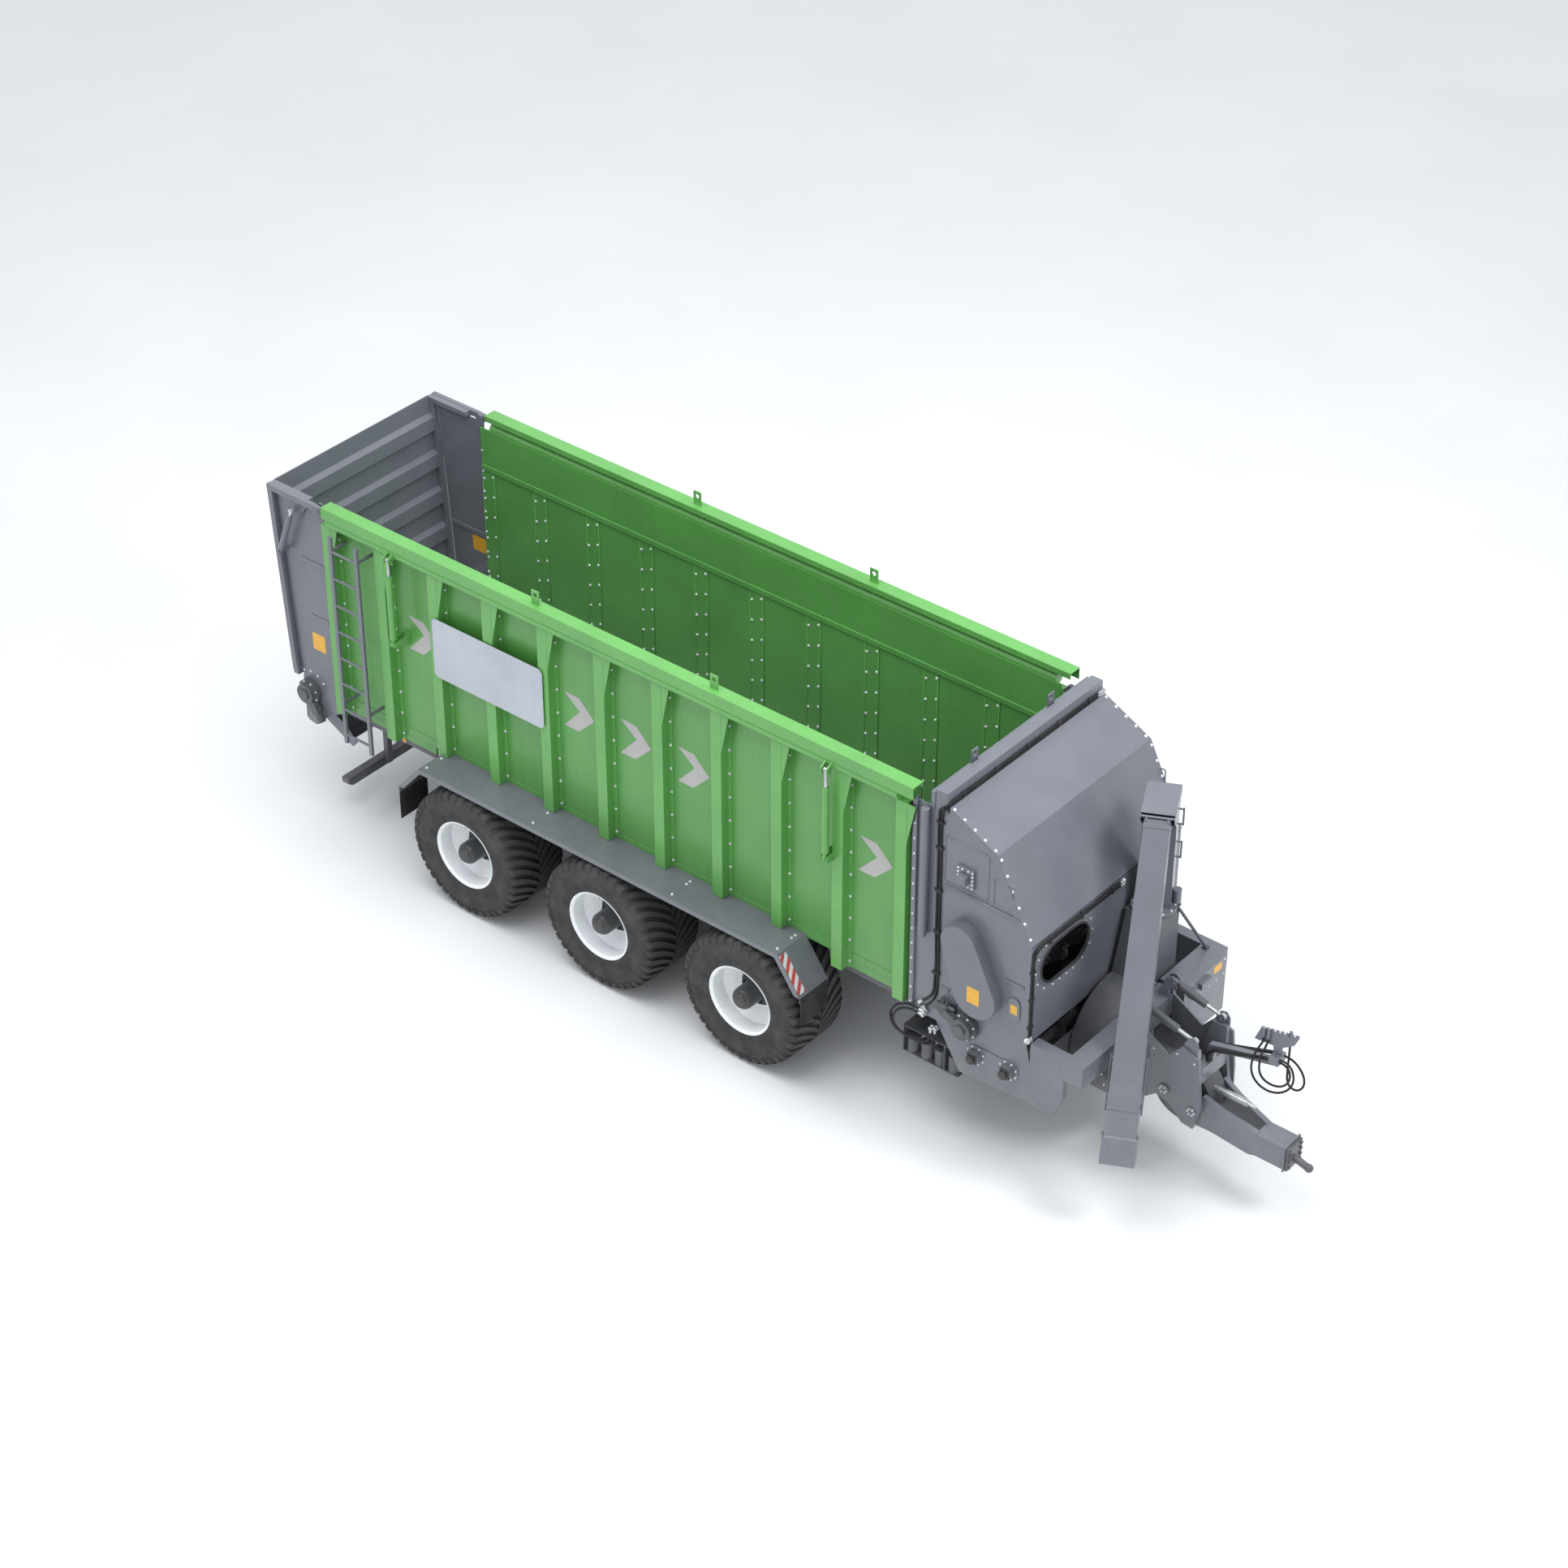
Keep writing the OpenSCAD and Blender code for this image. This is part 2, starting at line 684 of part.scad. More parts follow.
// A ring turned about a wheel axis; outline points are [radius, distance from the centre line]
module turned(points) {
    rotate([90, 0, 0]) rotate_extrude($fn = 128) polygon(points);
}

module tyre() {
    h0 = tyre_inner_y;
    h1 = tyre_outer_y;
    r = tyre_d / 2;
    color("Black")
    turned([[345, h0 + 32], [362, h0 + 32], [372, h0 + 18], [440, h0 + 4], [560, h0],
            [650, h0 + 14], [r, h0 + 50], [r, h1 - 50], [650, h1 - 14], [560, h1],
            [440, h1 - 4], [372, h1 - 18], [362, h1 - 32], [345, h1 - 32],
            [345, h1 - 80], [440, h1 - 44], [560, h1 - 40], [640, h1 - 56], [650, h1 - 80],
            [650, h0 + 80], [640, h0 + 56], [560, h0 + 40], [440, h0 + 44], [345, h0 + 80]]);
}

module rim() {
    h0 = tyre_inner_y + 20;
    h1 = tyre_outer_y - 20;
    color("White")
    difference() {
        union() {
            turned([[333, h0], [rim_r, h0], [rim_r, h0 + 12], [345, h0 + 12], [345, h1 - 12],
                    [rim_r, h1 - 12], [rim_r, h1], [352, h1], [333, h1 - 20],
                    [333, disc_y + 120], [215, disc_y + 14], [hub_r, disc_y + 14],
                    [hub_r, hub_outer_y - 30], [hub_r - 20, hub_outer_y],
                    [0, hub_outer_y], [0, hub_inner_y], [hub_r, hub_inner_y], [hub_r, disc_y],
                    [220, disc_y], [333, disc_y + 100]]);
        }
        rotate([90, 0, 0]) cylinder(r = spindle_r + fit, h = hub_outer_y - 30);
    }
}

module rim_at(x) { translate([x, 0, axle_z]) rim(); }

module tyre_at(x) { translate([x, 0, axle_z]) tyre(); }

module rim_rear_right() { rim_at(axle_x[0]); }
module rim_mid_right() { rim_at(axle_x[1]); }
module rim_front_right() { rim_at(axle_x[2]); }
module rim_rear_left() { mirror([0, 1, 0]) rim_at(axle_x[0]); }
module rim_mid_left() { mirror([0, 1, 0]) rim_at(axle_x[1]); }
module rim_front_left() { mirror([0, 1, 0]) rim_at(axle_x[2]); }
module tyre_rear_right() { tyre_at(axle_x[0]); }
module tyre_mid_right() { tyre_at(axle_x[1]); }
module tyre_front_right() { tyre_at(axle_x[2]); }
module tyre_rear_left() { mirror([0, 1, 0]) tyre_at(axle_x[0]); }
module tyre_mid_left() { mirror([0, 1, 0]) tyre_at(axle_x[1]); }
module tyre_front_left() { mirror([0, 1, 0]) tyre_at(axle_x[2]); }

// ---------------------------------------------------------------- milling unit

module mill_housing() {
    inner = mill_y - mill_t;
    color("Gray") {
        both_sides() {
            difference() {
                xz_plate(inner, mill_y,
                         [[box_front, sill_z], [box_front, 3540], [2350, 3540], [2500, 3540],
                          [2502, 3604], [3014, 3345], [3399, 2556], [3399, 1470],
                          [3440, 1300], [3440, 870], [2690, 820], [2420, sill_z]]);
                for (c = [roller_a, roller_b, auger_a, auger_b])
                    rod_y(c[0], c[1], 40 + fit, inner - 10, mill_y + 10);
                rod_y(floor_shaft_front[0], floor_shaft_front[1], 30 + fit, inner - 10, mill_y + 10);
            }
            // closing plate against the load box
            block(box_front, box_front + 8, wall_y - sheet, mill_y, sill_z, 3538);
            // pressed ribs and the flange beside the foremost post
            block(box_front, box_front + 46, mill_y, mill_y + 26, sill_z, 3538);
            for (z = [1640, 2070, 2760])
                block(2470, z > 2500 ? 2960 : 2560, mill_y, mill_y + 8, z, z + 40);
        }
        // upright cylinder and bolted box on the right side
        rod_z(2275, -mill_y - 44, 40, 2170, 3520);
        block(2255, 2295, -mill_y - 20, -mill_y, 2200, 3480);
        block(2610, 2790, -mill_y - 26, -mill_y, 2880, 3070);
        // front panel with the inspection window
        difference() {
            block(3399, 3407, -mill_y, mill_y, panel_low_z, 2545);
            translate([3380, 0, 2235]) window(40);
        }
        difference() {
            translate([3407, 0, 2235]) window(10, 24);
            translate([3400, 0, 2235]) window(30);
        }
    }
}

// Obround window opening, grown all round by edge
module window(t, edge = 0) {
    for (y = [-765, -475])
        translate([0, y, 0]) rotate([0, 90, 0]) cylinder(r = 205 + edge, h = t);
    translate([0, -765, -205 - edge]) cube([t, 290, 410 + 2 * edge]);
}

module hood() {
    color("LightSlateGray") {
        xz_plate(-1112, 1112, [hood_a, hood_b, hood_c, hood_c - [8, 3], hood_b - [6, 7],
                               hood_a - [3, 6]]);
        both_sides()
            xz_plate(mill_y, mill_y + 6, [hood_a - [3, 6], hood_b - [6, 7], hood_c - [8, 3],
                                          hood_c - [75, 30], hood_b - [45, 75], hood_a - [10, 75]]);
    }
}

module header_beam() {
    color("Gray") {
        difference() {
            block(2360, 2480, -1112, 1112, 3540, 3735);
            block(2368, 2472, -1104, 1104, 3548, 3727);
        }
        difference() {
            block(2310, 2352, -1112, 1112, 3540, 3700);
            block(2316, 2346, -1106, 1106, 3546, 3694);
        }
        block(2352, 2360, -1100, 1100, 3540, 3660);
        for (y = [-545, 545])
            difference() {
                block(2322, 2334, y - 45, y + 45, 3700, 3830);
                rod_x(y, 3785, 24, 2300, 2360);
            }
    }
}

module trough() {
    inner = mill_y - mill_t;
    color("DimGray")
    difference() {
        xz_plate(-inner, inner,
                 [[2640, 1050], [2690, 880], [2900, 835], [3300, 850], [3440, 900], [3440, 1290],
                  [3432, 1290], [3432, 915], [3290, 862], [2905, 847], [2700, 892], [2650, 1055],
                  [2650, 1285], [2640, 1285]]);
        rod_x(drum_y, drum_z, 300, 3400, 3460);
    }
}

// Toothed milling roller on its shaft
module mill_roller(c, r) {
    inner = mill_y - mill_t;
    translate([c[0], 0, c[1]]) {
        difference() {
            rod_y(0, 0, r, -inner + 20, inner - 20);
            rod_y(0, 0, r - 12, -inner + 32, inner - 32);
        }
        rod_y(0, 0, 40, -mill_y - 30, mill_y - 2);
        for (k = [0:16])
            for (a = [0:60:300])
                rotate([0, a + k * 24, 0]) translate([r - 4, -980 + k * 122, 0])
                    rotate([90, 0, 0]) linear_extrude(height = 22)
                        polygon([[0, -40], [55, -18], [70, 22], [50, 10], [0, 40]]);
    }
}

module roller_upper() { color("DimGray") mill_roller(roller_a, 150); }

module roller_lower() { color("DimGray") mill_roller(roller_b, 150); }

// One side of a screw flight: turns of a helical blade swept as a closed band
module flight(r0, r1, pitch, turns, hand, t) {
    steps = 16;
    n = round(turns * steps);
    pts = [for (i = [0:n]) let (a = hand * i * 360 / steps, y = i * pitch / steps)
        each [[r0 * cos(a), y, r0 * sin(a)], [r1 * cos(a), y, r1 * sin(a)],
              [r1 * cos(a), y + t, r1 * sin(a)], [r0 * cos(a), y + t, r0 * sin(a)]]];
    polyhedron(points = pts, faces = sweep_faces(4, n + 1, hand > 0), convexity = 10);
}

// Faces of a tube with count rings of sides points each; flip turns them inside out
function sweep_faces(sides, count, flip) =
    let (last = sides * (count - 1),
         caps = [[for (s = [sides - 1:-1:0]) s], [for (s = [0:sides - 1]) last + s]],
         skin = [for (i = [0:count - 2]) for (s = [0:sides - 1])
             let (a = sides * i + s, b = sides * i + (s + 1) % sides)
             each [[a, b, b + sides], [a, b + sides, a + sides]]],
         faces = concat(caps, skin))
    flip ? [for (f = faces) [for (j = [len(f) - 1:-1:0]) f[j]]] : faces;

// Cross auger with opposite flights that feed the middle
module auger(c) {
    translate([c[0], 0, c[1]]) {
        rod_y(0, 0, 50, -1070, 1070);
        rod_y(0, 0, 40, -mill_y - 30, mill_y - 2);
        translate([0, -1060, 0]) flight(45, 150, 300, 3, 1, 8);
        mirror([0, 1, 0]) translate([0, -1060, 0]) flight(45, 150, 300, 3, 1, 8);
        for (a = [0:90:270])
            rotate([0, a, 0]) block(45, 140, -110, 110, -5, 5);
    }
}

module auger_rear() { color("DimGray") auger(auger_a); }

module auger_front() { color("DimGray") auger(auger_b); }

// Obround cover over the chain drive of the two milling rollers
module chain_case() {
    color("Gray") {
        difference() {
            translate([0, -mill_y, 0]) rotate([90, 0, 0]) linear_extrude(height = 120)
                case_outline(0);
            translate([0, -mill_y + 1, 0]) rotate([90, 0, 0]) linear_extrude(height = 113)
                case_outline(-6);
        }
        // small oval cover beside it
        for (z = [1760, 1880])
            rod_y(3255, z, 62, -mill_y - 14, -mill_y);
        block(3193, 3317, -mill_y - 14, -mill_y, 1760, 1880);
        auger_covers();
    }
}

// Plate with two caps over the ends of the augers' shafts
module auger_covers() {
    mid = (auger_a + auger_b) / 2;
    difference() {
        union() {
            for (c = [auger_a, auger_b]) {
                rod_y(c[0], c[1], 110, -mill_y - 8, -mill_y);
                rod_y(c[0], c[1], 70, -mill_y - 60, -mill_y);
            }
            block(auger_a[0], auger_b[0], -mill_y - 8, -mill_y, mid[1] - 100, mid[1] + 100);
        }
        for (c = [auger_a, auger_b])
            rod_y(c[0], c[1], 48, -mill_y - 40, -mill_y + 5);
    }
}

// Two circles joined by their outer tangents
module case_outline(grow) {
    p = roller_a + [0, 10];
    q = roller_b;
    r0 = 190 + grow;
    r1 = 226 + grow;
    d = norm(q - p);
    a = atan2(q[1] - p[1], q[0] - p[0]);
    b = acos((r0 - r1) / d);
    translate(p) circle(r = r0);
    translate(q) circle(r = r1);
    polygon([p + r0 * [cos(a + b), sin(a + b)], q + r1 * [cos(a + b), sin(a + b)],
             q + r1 * [cos(a - b), sin(a - b)], p + r0 * [cos(a - b), sin(a - b)]]);
}

// Shaft with sprockets under the floor chains
module floor_shaft(c) {
    translate([c[0], 0, c[1]]) {
        rod_y(0, 0, 30, -1140, 1098);
        for (y = chain_y)
            rod_y(0, 0, 75.5, y - 16, y + 16);
    }
}

module floor_shaft_front() { color("Silver") floor_shaft(floor_shaft_front); }

module floor_shaft_rear() { color("Silver") floor_shaft(floor_shaft_rear); }

// Gearbox with a round case, flange and hydraulic motor on the outside of a side plate
module drive_box(c, y_wall, motor_angle) {
    translate([c[0], 0, c[1]]) {
        difference() {
            union() {
                rod_y(0, 0, 135, -y_wall - 60, -y_wall);
                rod_y(0, 0, 105, -y_wall - 110, -y_wall - 60);
            }
            rod_y(0, 0, 46, -y_wall - 80, -y_wall + 10);
        }
        rod_y(0, 0, 55, -y_wall - 130, -y_wall - 110);
        rotate([0, motor_angle, 0]) {
            block(100, 230, -y_wall - 90, -y_wall - 20, -45, 45);
            rod_x(-y_wall - 55, 0, 42, 230, 330);
        }
    }
}

module drive_boxes() {
    color("SlateGray") {
        drive_box(floor_shaft_front, mill_y, -160);
        drive_box(floor_shaft_rear, mill_y, 60);
        // driveline case between the drawbar's plates
        difference() {
            union() {
                rod_y(case_at[0], case_at[1], 300, -118, 118);
                rod_y(case_at[0], case_at[1], 100, -195, 195);
                rod_x(drum_y, drum_z, 70, drum_x1 + 18, 4250);
            }
            rod_y(case_at[0], case_at[1], 288, -106, 106);
            rod_x(drum_y, drum_z, 46, drum_x1 + 10, 3852);
            at_input() cylinder(r = 32 + fit, h = 400);
        }
    }
}

// Places children on the input shaft's axis, Z along the shaft
module at_input() {
    translate([case_at[0], 0, 980]) rotate([0, 90, 0]) children();
}

// ---------------------------------------------------------------- front frame

module front_frame() {
    inner = mill_y - mill_t;
    color("Gray") {
        both_sides() {
            // sill beams beside the blower
            block(3440, 3800, inner - 100, mill_y, 1310, 1530);
            xz_plate(inner - 40, mill_y, [[3440, 1310], [3440, 870], [3700, 834], [3800, 1105],
                                         [3800, 1310]]);
        }
        // cross member in front of the blower
        difference() {
            block(3800, 3990, -mill_y, 300, 1310, 1530);
            block(3808, 3982, -mill_y + 8, 292, 1318, 1522);
        }
        block(3800, 3990, 980, mill_y, 1310, 1530);
        block(3800, 3990, 300, 980, 1310, 1330);
        // longitudinal members down to the drawbar's plates
        both_sides() {
            block(3800, 4100, 272, 300, 760, 1310);
            xz_plate(250, 272, [[4100, 760], [3990, 1000], [3990, 1530], [4310, 1340],
                                [4443, 1500], [4625, 1435], [4665, 1060], [4670, 874],
                                [4640, 770], [4570, 744], [4218, 858]]);
            // lugs for the drawbar rams
            for (y = [ram_y - 38, ram_y + 22])
                difference() {
                    xz_plate(y, y + 16, [[3870, 1530], [3990, 1530], [3990, 1620], [4058, 1660],
                                         [4058, 1740], [4010, 1770], [3950, 1740]]);
                    rod_y(ram_rear[0], ram_rear[1], 20, y - 5, y + 25);
                }
            rod_y(ram_rear[0], ram_rear[1], 20, ram_y - 48, ram_y + 48);
        }
        drawbar_pins();
    }
}

module drawbar_pins() {
    both_sides() {
        rod_y(bar_pivot[0], bar_pivot[1], 36, 205, 272);
        rod_y(bar_pivot[0], bar_pivot[1], 52, 272, 292);
        rod_y(bar_pin[0], bar_pin[1], 52, 272, 280);
    }
}

// ---------------------------------------------------------------- blower

module blower_housing() {
    wall = 8;
    color("SlateGray") {
        difference() {
            union() {
                rod_x(drum_y, drum_z, drum_r, drum_x0, drum_x1);
                yz_bar(drum_x0, drum_x1, [[drum_y + drum_r, drum_z], [drum_y + drum_r, 1440],
                                          [575, neck_top], [235, neck_top], [drum_y, 1440],
                                          [drum_y, drum_z]]);
            }
            rod_x(drum_y, drum_z, drum_r - wall, drum_x0 + wall, drum_x1 - wall);
            yz_bar(drum_x0 + wall, drum_x1 - wall,
                   [[drum_y + drum_r - wall, drum_z], [drum_y + drum_r - wall, 1440],
                    [575 - wall, neck_top + 1], [235 + wall, neck_top + 1],
                    [drum_y + 8, 1440], [drum_y, drum_z]]);
            rod_x(drum_y, drum_z, 300, drum_x0 - 5, drum_x0 + 15);
            rod_x(drum_y, drum_z, 46, drum_x1 - 15, drum_x1 + 5);
        }
        // bearing plate and slewing ring
        difference() {
            block(drum_x0 - 10, drum_x1 + 10, 225, 590, neck_top, neck_top + 12);
            block(drum_x0 + 20, drum_x1 - 20, 255, 565, neck_top - 5, neck_top + 20);
        }
        difference() {
            rod_z(turret[0], turret[1], 205, neck_top + 12, ring_z - 2);
            rod_z(turret[0], turret[1], 150, neck_top, ring_z);
        }
        difference() {
            rod_x(drum_y, drum_z, 75, drum_x1, drum_x1 + 18);
            rod_x(drum_y, drum_z, 40 + fit, drum_x1 - 5, drum_x1 + 30);
        }
        // intake collar against the trough
        difference() {
            rod_x(drum_y, drum_z, 312, 3440, drum_x0 + 4);
            rod_x(drum_y, drum_z, 300, 3430, drum_x0 + 10);
        }
        // strut from the slewing ring down to the tank
        bar([3784, 540, 2216], [3860, 930, 1575], 14);
        block(3835, 3885, 905, 955, 1560, 1580);
    }
}

module blower_rotor() {
    color("DimGray") {
        rod_x(drum_y, drum_z, 40, drum_x0 + 40, drum_x1 + 60);
        rod_x(drum_y, drum_z, 120, drum_x0 + 120, drum_x1 - 40);
        for (a = [0:60:300])
            translate([0, drum_y, drum_z]) rotate([a, 0, 0])
                block(drum_x0 + 40, drum_x1 - 40, -6, 6, 100, drum_r - 30);
    }
}

// ---------------------------------------------------------------- chute

// Places children in the chute's plane: X outwards from the slewing axis, Z up
module at_turret() {
    translate([turret[0], turret[1], 0]) rotate([0, 0, chute_azimuth]) children();
}

module turret_duct() {
    w = 150;
    back = -140;
    front = 56;
    wall = 6;
    top = turret_top - 8;
    color("LightSlateGray")
    at_turret() {
        difference() {
            rod_z(0, 0, 205, ring_z, ring_z + 14);
            block(back + wall, front - wall, -w + wall, w - wall, ring_z - 5, ring_z + 20);
        }
        difference() {
            block(back, front, -w, w, ring_z + 14, top);
            block(back + wall, front - wall, -w + wall, w - wall, ring_z, top + 5);
            block(front - wall, front + 4, -w + wall, w - wall, top - 222, top + 8);
        }
        // cap, and the cheeks that hold the chute's hinge
        block(-230, 236, -w, w, top, turret_top);
        for (y = [-w, w - wall])
            difference() {
                xz_plate(y, y + wall, [[50, top], [275, top], [275, top - 42], [236, top - 82],
                                       [50, top - 252]]);
                rod_y(chute_hinge_r, turret_top - 30, 11 + fit, y - 2, y + wall + 2);
            }
        xz_plate(-w, w, [[-230, top], [back, top - 192], [back, top - 182], [-220, top]]);
        // slewing motor at the foot
        rod_z(-60, 190, 40, ring_z + 14, ring_z + 150);
        for (z = [2700, 3050])
            grab_handle(z);
    }
}

module grab_handle(z) {
    rod_z(-110, 190, 9, z - 9, z + 170);
    for (h = [z, z + 160])
        rod_y(-110, h, 9, 148, 190);
}

// Chute frame: X runs down the chute from the hinge, Z = 0 is the outer face
module at_chute() {
    at_turret() translate([chute_hinge_r, 0, turret_top - 30]) rotate([0, 90 - chute_lean, 0])
        children();
}

module chute() {
    wall = 5;
    w0 = chute_w0 / 2;
    w1 = chute_w1 / 2;
    color("LightSlateGray")
    at_chute() {
        difference() {
            union() {
                translate([0, 0, -chute_t]) linear_extrude(height = chute_t)
                    polygon([[20, -w0], [chute_len, -w1], [chute_len, w1], [20, w0]]);
                for (x = [60, chute_len - 260])
                    translate([0, 0, -chute_t - 4]) linear_extrude(height = chute_t + 8)
                        polygon([[x, -w0 - 5 - x * 0.011], [x + 34, -w0 - 5.4 - x * 0.011],
                                 [x + 34, w0 + 5.4 + x * 0.011], [x, w0 + 5 + x * 0.011]]);
            }
            translate([0, 0, -chute_t + wall]) linear_extrude(height = chute_t - 2 * wall)
                polygon([[10, -w0 + wall], [chute_len + 5, -w1 + wall],
                         [chute_len + 5, w1 - wall], [10, w0 - wall]]);
        }
        // hinge knuckle on the top edge
        rod_y(0, 0, 11, -150, 150);
        for (y = [-105, 85])
            block(0, 40, y, y + 20, -8, 6);
        // rods that work the end flap
        for (y = [-w1 - 14, w1 + 14]) {
            bar([chute_len - 700, y, -60], [chute_len - 200, y, -60], 7);
            for (x = [chute_len - 680, chute_len - 300])
                block(x, x + 14, min(y, y * 0.85), max(y, y * 0.85), -70, -50);
        }
    }
}

module chute_flap() {
    w = chute_w1 / 2 + 10;
    color("LightSlateGray")
    at_chute() difference() {
        union() {
            block(chute_len + 3, chute_len + flap_len, -w, w, -chute_t, 6);
            for (y = [-w, w - 6])
                block(chute_len - 30, chute_len + 10, y, y + 6, -60, 6);
            for (y = [-w - 12, w - 4])
                rod_y(chute_len - 10, -20, 14, y, y + 16);
        }
        block(chute_len, chute_len + flap_len - 5, -w + 6, w - 6, -chute_t - 5, 0);
        block(chute_len - 40, chute_len + 20, -w + 6, w - 6, -200, 20);
    }
}

// ---------------------------------------------------------------- drawbar

module drawbar() {
    color("Gray") {
        both_sides() {
            difference() {
                // upright cheek inside the frame's plates
                xz_plate(196, 248, [[4250, 890], [4240, 1010], [4330, 1030], [4420, 1420],
                                    [4450, 1530], [4490, 1605], [4550, 1620], [4590, 1570],
                                    [4600, 1290], [4640, 990], [4660, 890], [4600, 640],
                                    [4480, 655]]);
                rod_y(bar_pivot[0], bar_pivot[1], 36 + fit, 190, 260);
                block(4430, 4620, 195, 236.5, 1500, 1640);
            }
            rod_y(ram_front[0], ram_front[1], 16, 195, 248);
            // side beam, running in to the nose
            beam_to_nose();
        }
        // cross plate between the cheeks
        block(4600, 4612, -196, 196, 1110, 1280);
        block(4540, 4612, -196, 196, 1270, 1280);
        // nose box
        block(5150, nose_x, -110, 110, 560, 800);
        block(nose_x, nose_x + 16, -125, 125, 545, 815);
    }
}

// Box beam with vertical sides from the cheek to the nose
module beam_to_nose() {
    intersection() {
        xz_plate(0, 300, [[4500, 655], [4640, 990], [4840, 900], [5170, 806], [5170, 560],
                          [5100, 545], [4735, 636]]);
        linear_extrude(height = 1200)
            polygon([[4500, 148], [4560, 148], [5170, 55], [5170, 108], [4560, 196], [4500, 196]]);
    }
}

module coupling() {
    color("Black") {
        block(nose_x + 16, nose_x + 44, -110, 110, 560, 800);
        bar([nose_x + 40, 0, 650], [ball_x - 25, 0, ball_z + 5], 34);
        translate([ball_x, 0, ball_z]) sphere(d = ball_d, $fn = 96);
        for (y = [-85, 85])
            for (z = [590, 650, 710, 770])
                rod_x(y, z, 15, nose_x + 44, nose_x + 60);
    }
}

module ram_barrels() {
    color("SlateGray")
    both_sides() ram_barrel(ram_rear, ram_front, ram_y, 36, 340, 38, 20);
}

module ram_rods() {
    color("White")
    both_sides() ram_rod(ram_rear, ram_front, ram_y, 36, 120, 36, 24);
}

// Input shaft with its splined end, in front of the driveline case
module pto_shaft() {
    color("Silver")
    at_input() {
        translate([0, 0, 120]) cylinder(r = 32, h = 480);
        translate([0, 0, 600]) cylinder(r = 17.4, h = 80);
    }
}

// ---------------------------------------------------------------- tank and hoses

module tank() {
    color("Gray")
    difference() {
        union() {
            block(3800, 4060, 320, 978, 1330, 1560);
            block(3992, 4060, 320, 978, 950, 1332);
        }
        block(3808, 4052, 328, 970, 1340, 1552);
    }
    color("White") {
        block(4060, 4110, 400, 470, 1420, 1500);
        block(4060, 4100, 540, 700, 1440, 1500);
    }
}

module hose_arm() {
    color("Gray") {
        // bent arm that carries the hoses above the drawbar
        xz_plate(-30, 30, [[4612, 1280], [4620, 1380], [4900, 1470], [5260, 1560], [5260, 1620],
                           [4890, 1530], [4560, 1440], [4540, 1280]]);
        block(5180, 5270, -70, 70, 1590, 1660);
        // coupling rack
        coupling_rack();
    }
}

module coupling_rack() {
    slots = 7;
    difference() {
        xz_plate(-6, 6, [[4990, 1720], [5020, 1800], [5050, 1880], [5420, 1960], [5420, 1930],
                         [5380, 1840], [5330, 1800], [5270, 1760], [5260, 1655], [5190, 1655],
                         [5180, 1740]]);
        for (k = [0:slots - 1]) {
            x = 5085 + k * 48;
            block(x - 9, x + 9, -20, 20, 1850 + (x - 5050) * 0.216, 2000);
        }
    }
    // couplers clamped to the rack, where the loose hoses end
    for (k = [0, 1, 5]) {
        x = 5085 + k * 48;
        side = k < 3 ? -1 : 1;
        rod_z(x, side * 20, 15, k < 3 ? 1800 : 1810, 1890 + k * 12);
    }
}

module accumulators() {
    x0 = 2050;
    y0 = -1084;
    y1 = -946;
    color("DimGray") {
        // tray hung from the chassis
        block(x0, x0 + 618, y0, y1, 722, 730);
        for (x = [x0, x0 + 456])
            block(x, x + 10, y0, y1, 730, 1000);
        block(x0, x0 + 560, y0, -frame_y0, 1000, frame_top - frame_h);
        for (k = [0:3])
            rod_z(x0 + 82 + k * 152, (y0 + y1) / 2, 64, 730, 900);
    }
}

// Hose held along a route: a tube with eight sides, swept from point to point
module hose(route, r) {
    sides = 8;
    n = len(route);
    dirs = [for (i = [0:n - 1])
        let (a = route[max(i - 1, 0)], b = route[min(i + 1, n - 1)]) (b - a) / norm(b - a)];
    up = [0.21, 0.33, 0.92];
    us = [for (d = dirs) let (c = cross(d, up)) c / norm(c)];
    vs = [for (i = [0:n - 1]) cross(dirs[i], us[i])];
    pts = [for (i = [0:n - 1]) for (s = [0:sides - 1])
        route[i] + r * (cos(s * 360 / sides) * us[i] + sin(s * 360 / sides) * vs[i])];
    polyhedron(points = pts, faces = sweep_faces(sides, n, true), convexity = 10);
}

module hydraulic_lines() {
    color("Black") {
        for (route = line_routes) hose(route, line_r);
    }
}

module rack_hoses() {
    color("Black") {
        hose(rack_route_a, rack_hose_r);
        hose(rack_route_b, rack_hose_r);
        hose(rack_route_c, rack_hose_r);
        both_sides() hose(bundle_route, bundle_r);
    }
}

chassis_frame();
suspension();
hopper_floor();
floor_chain();
side_wall_right();
side_wall_left();
side_posts_right();
side_posts_left();
side_rail_right();
side_rail_left();
lift_barrels();
lift_rods();
ladder();
fenders();
mud_flaps();
number_boards();
rear_frame();
tailgate();
gate_barrels();
gate_rods();
mill_housing();
hood();
header_beam();
trough();
roller_upper();
roller_lower();
auger_rear();
auger_front();
chain_case();
floor_shaft_front();
floor_shaft_rear();
drive_boxes();
front_frame();
blower_housing();
blower_rotor();
turret_duct();
chute();
chute_flap();
drawbar();
coupling();
ram_barrels();
ram_rods();
pto_shaft();
tank();
hose_arm();
accumulators();
hydraulic_lines();
rack_hoses();
rim_rear_right();
rim_mid_right();
rim_front_right();
rim_rear_left();
rim_mid_left();
rim_front_left();
tyre_rear_right();
tyre_mid_right();
tyre_front_right();
tyre_rear_left();
tyre_mid_left();
tyre_front_left();
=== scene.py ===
"""Looks of the silage transfer wagon: camera and light, hoses, paint, tyres and fittings.

Metres, in the CAD frame: +X forward to the hitch, +Y to the wagon's left, +Z up, and
the ground at z = 0. The wheels, and the row of posts, are placed from their CAD nodes' boxes.
"""

import math

import bpy
from mathutils import Matrix, Vector


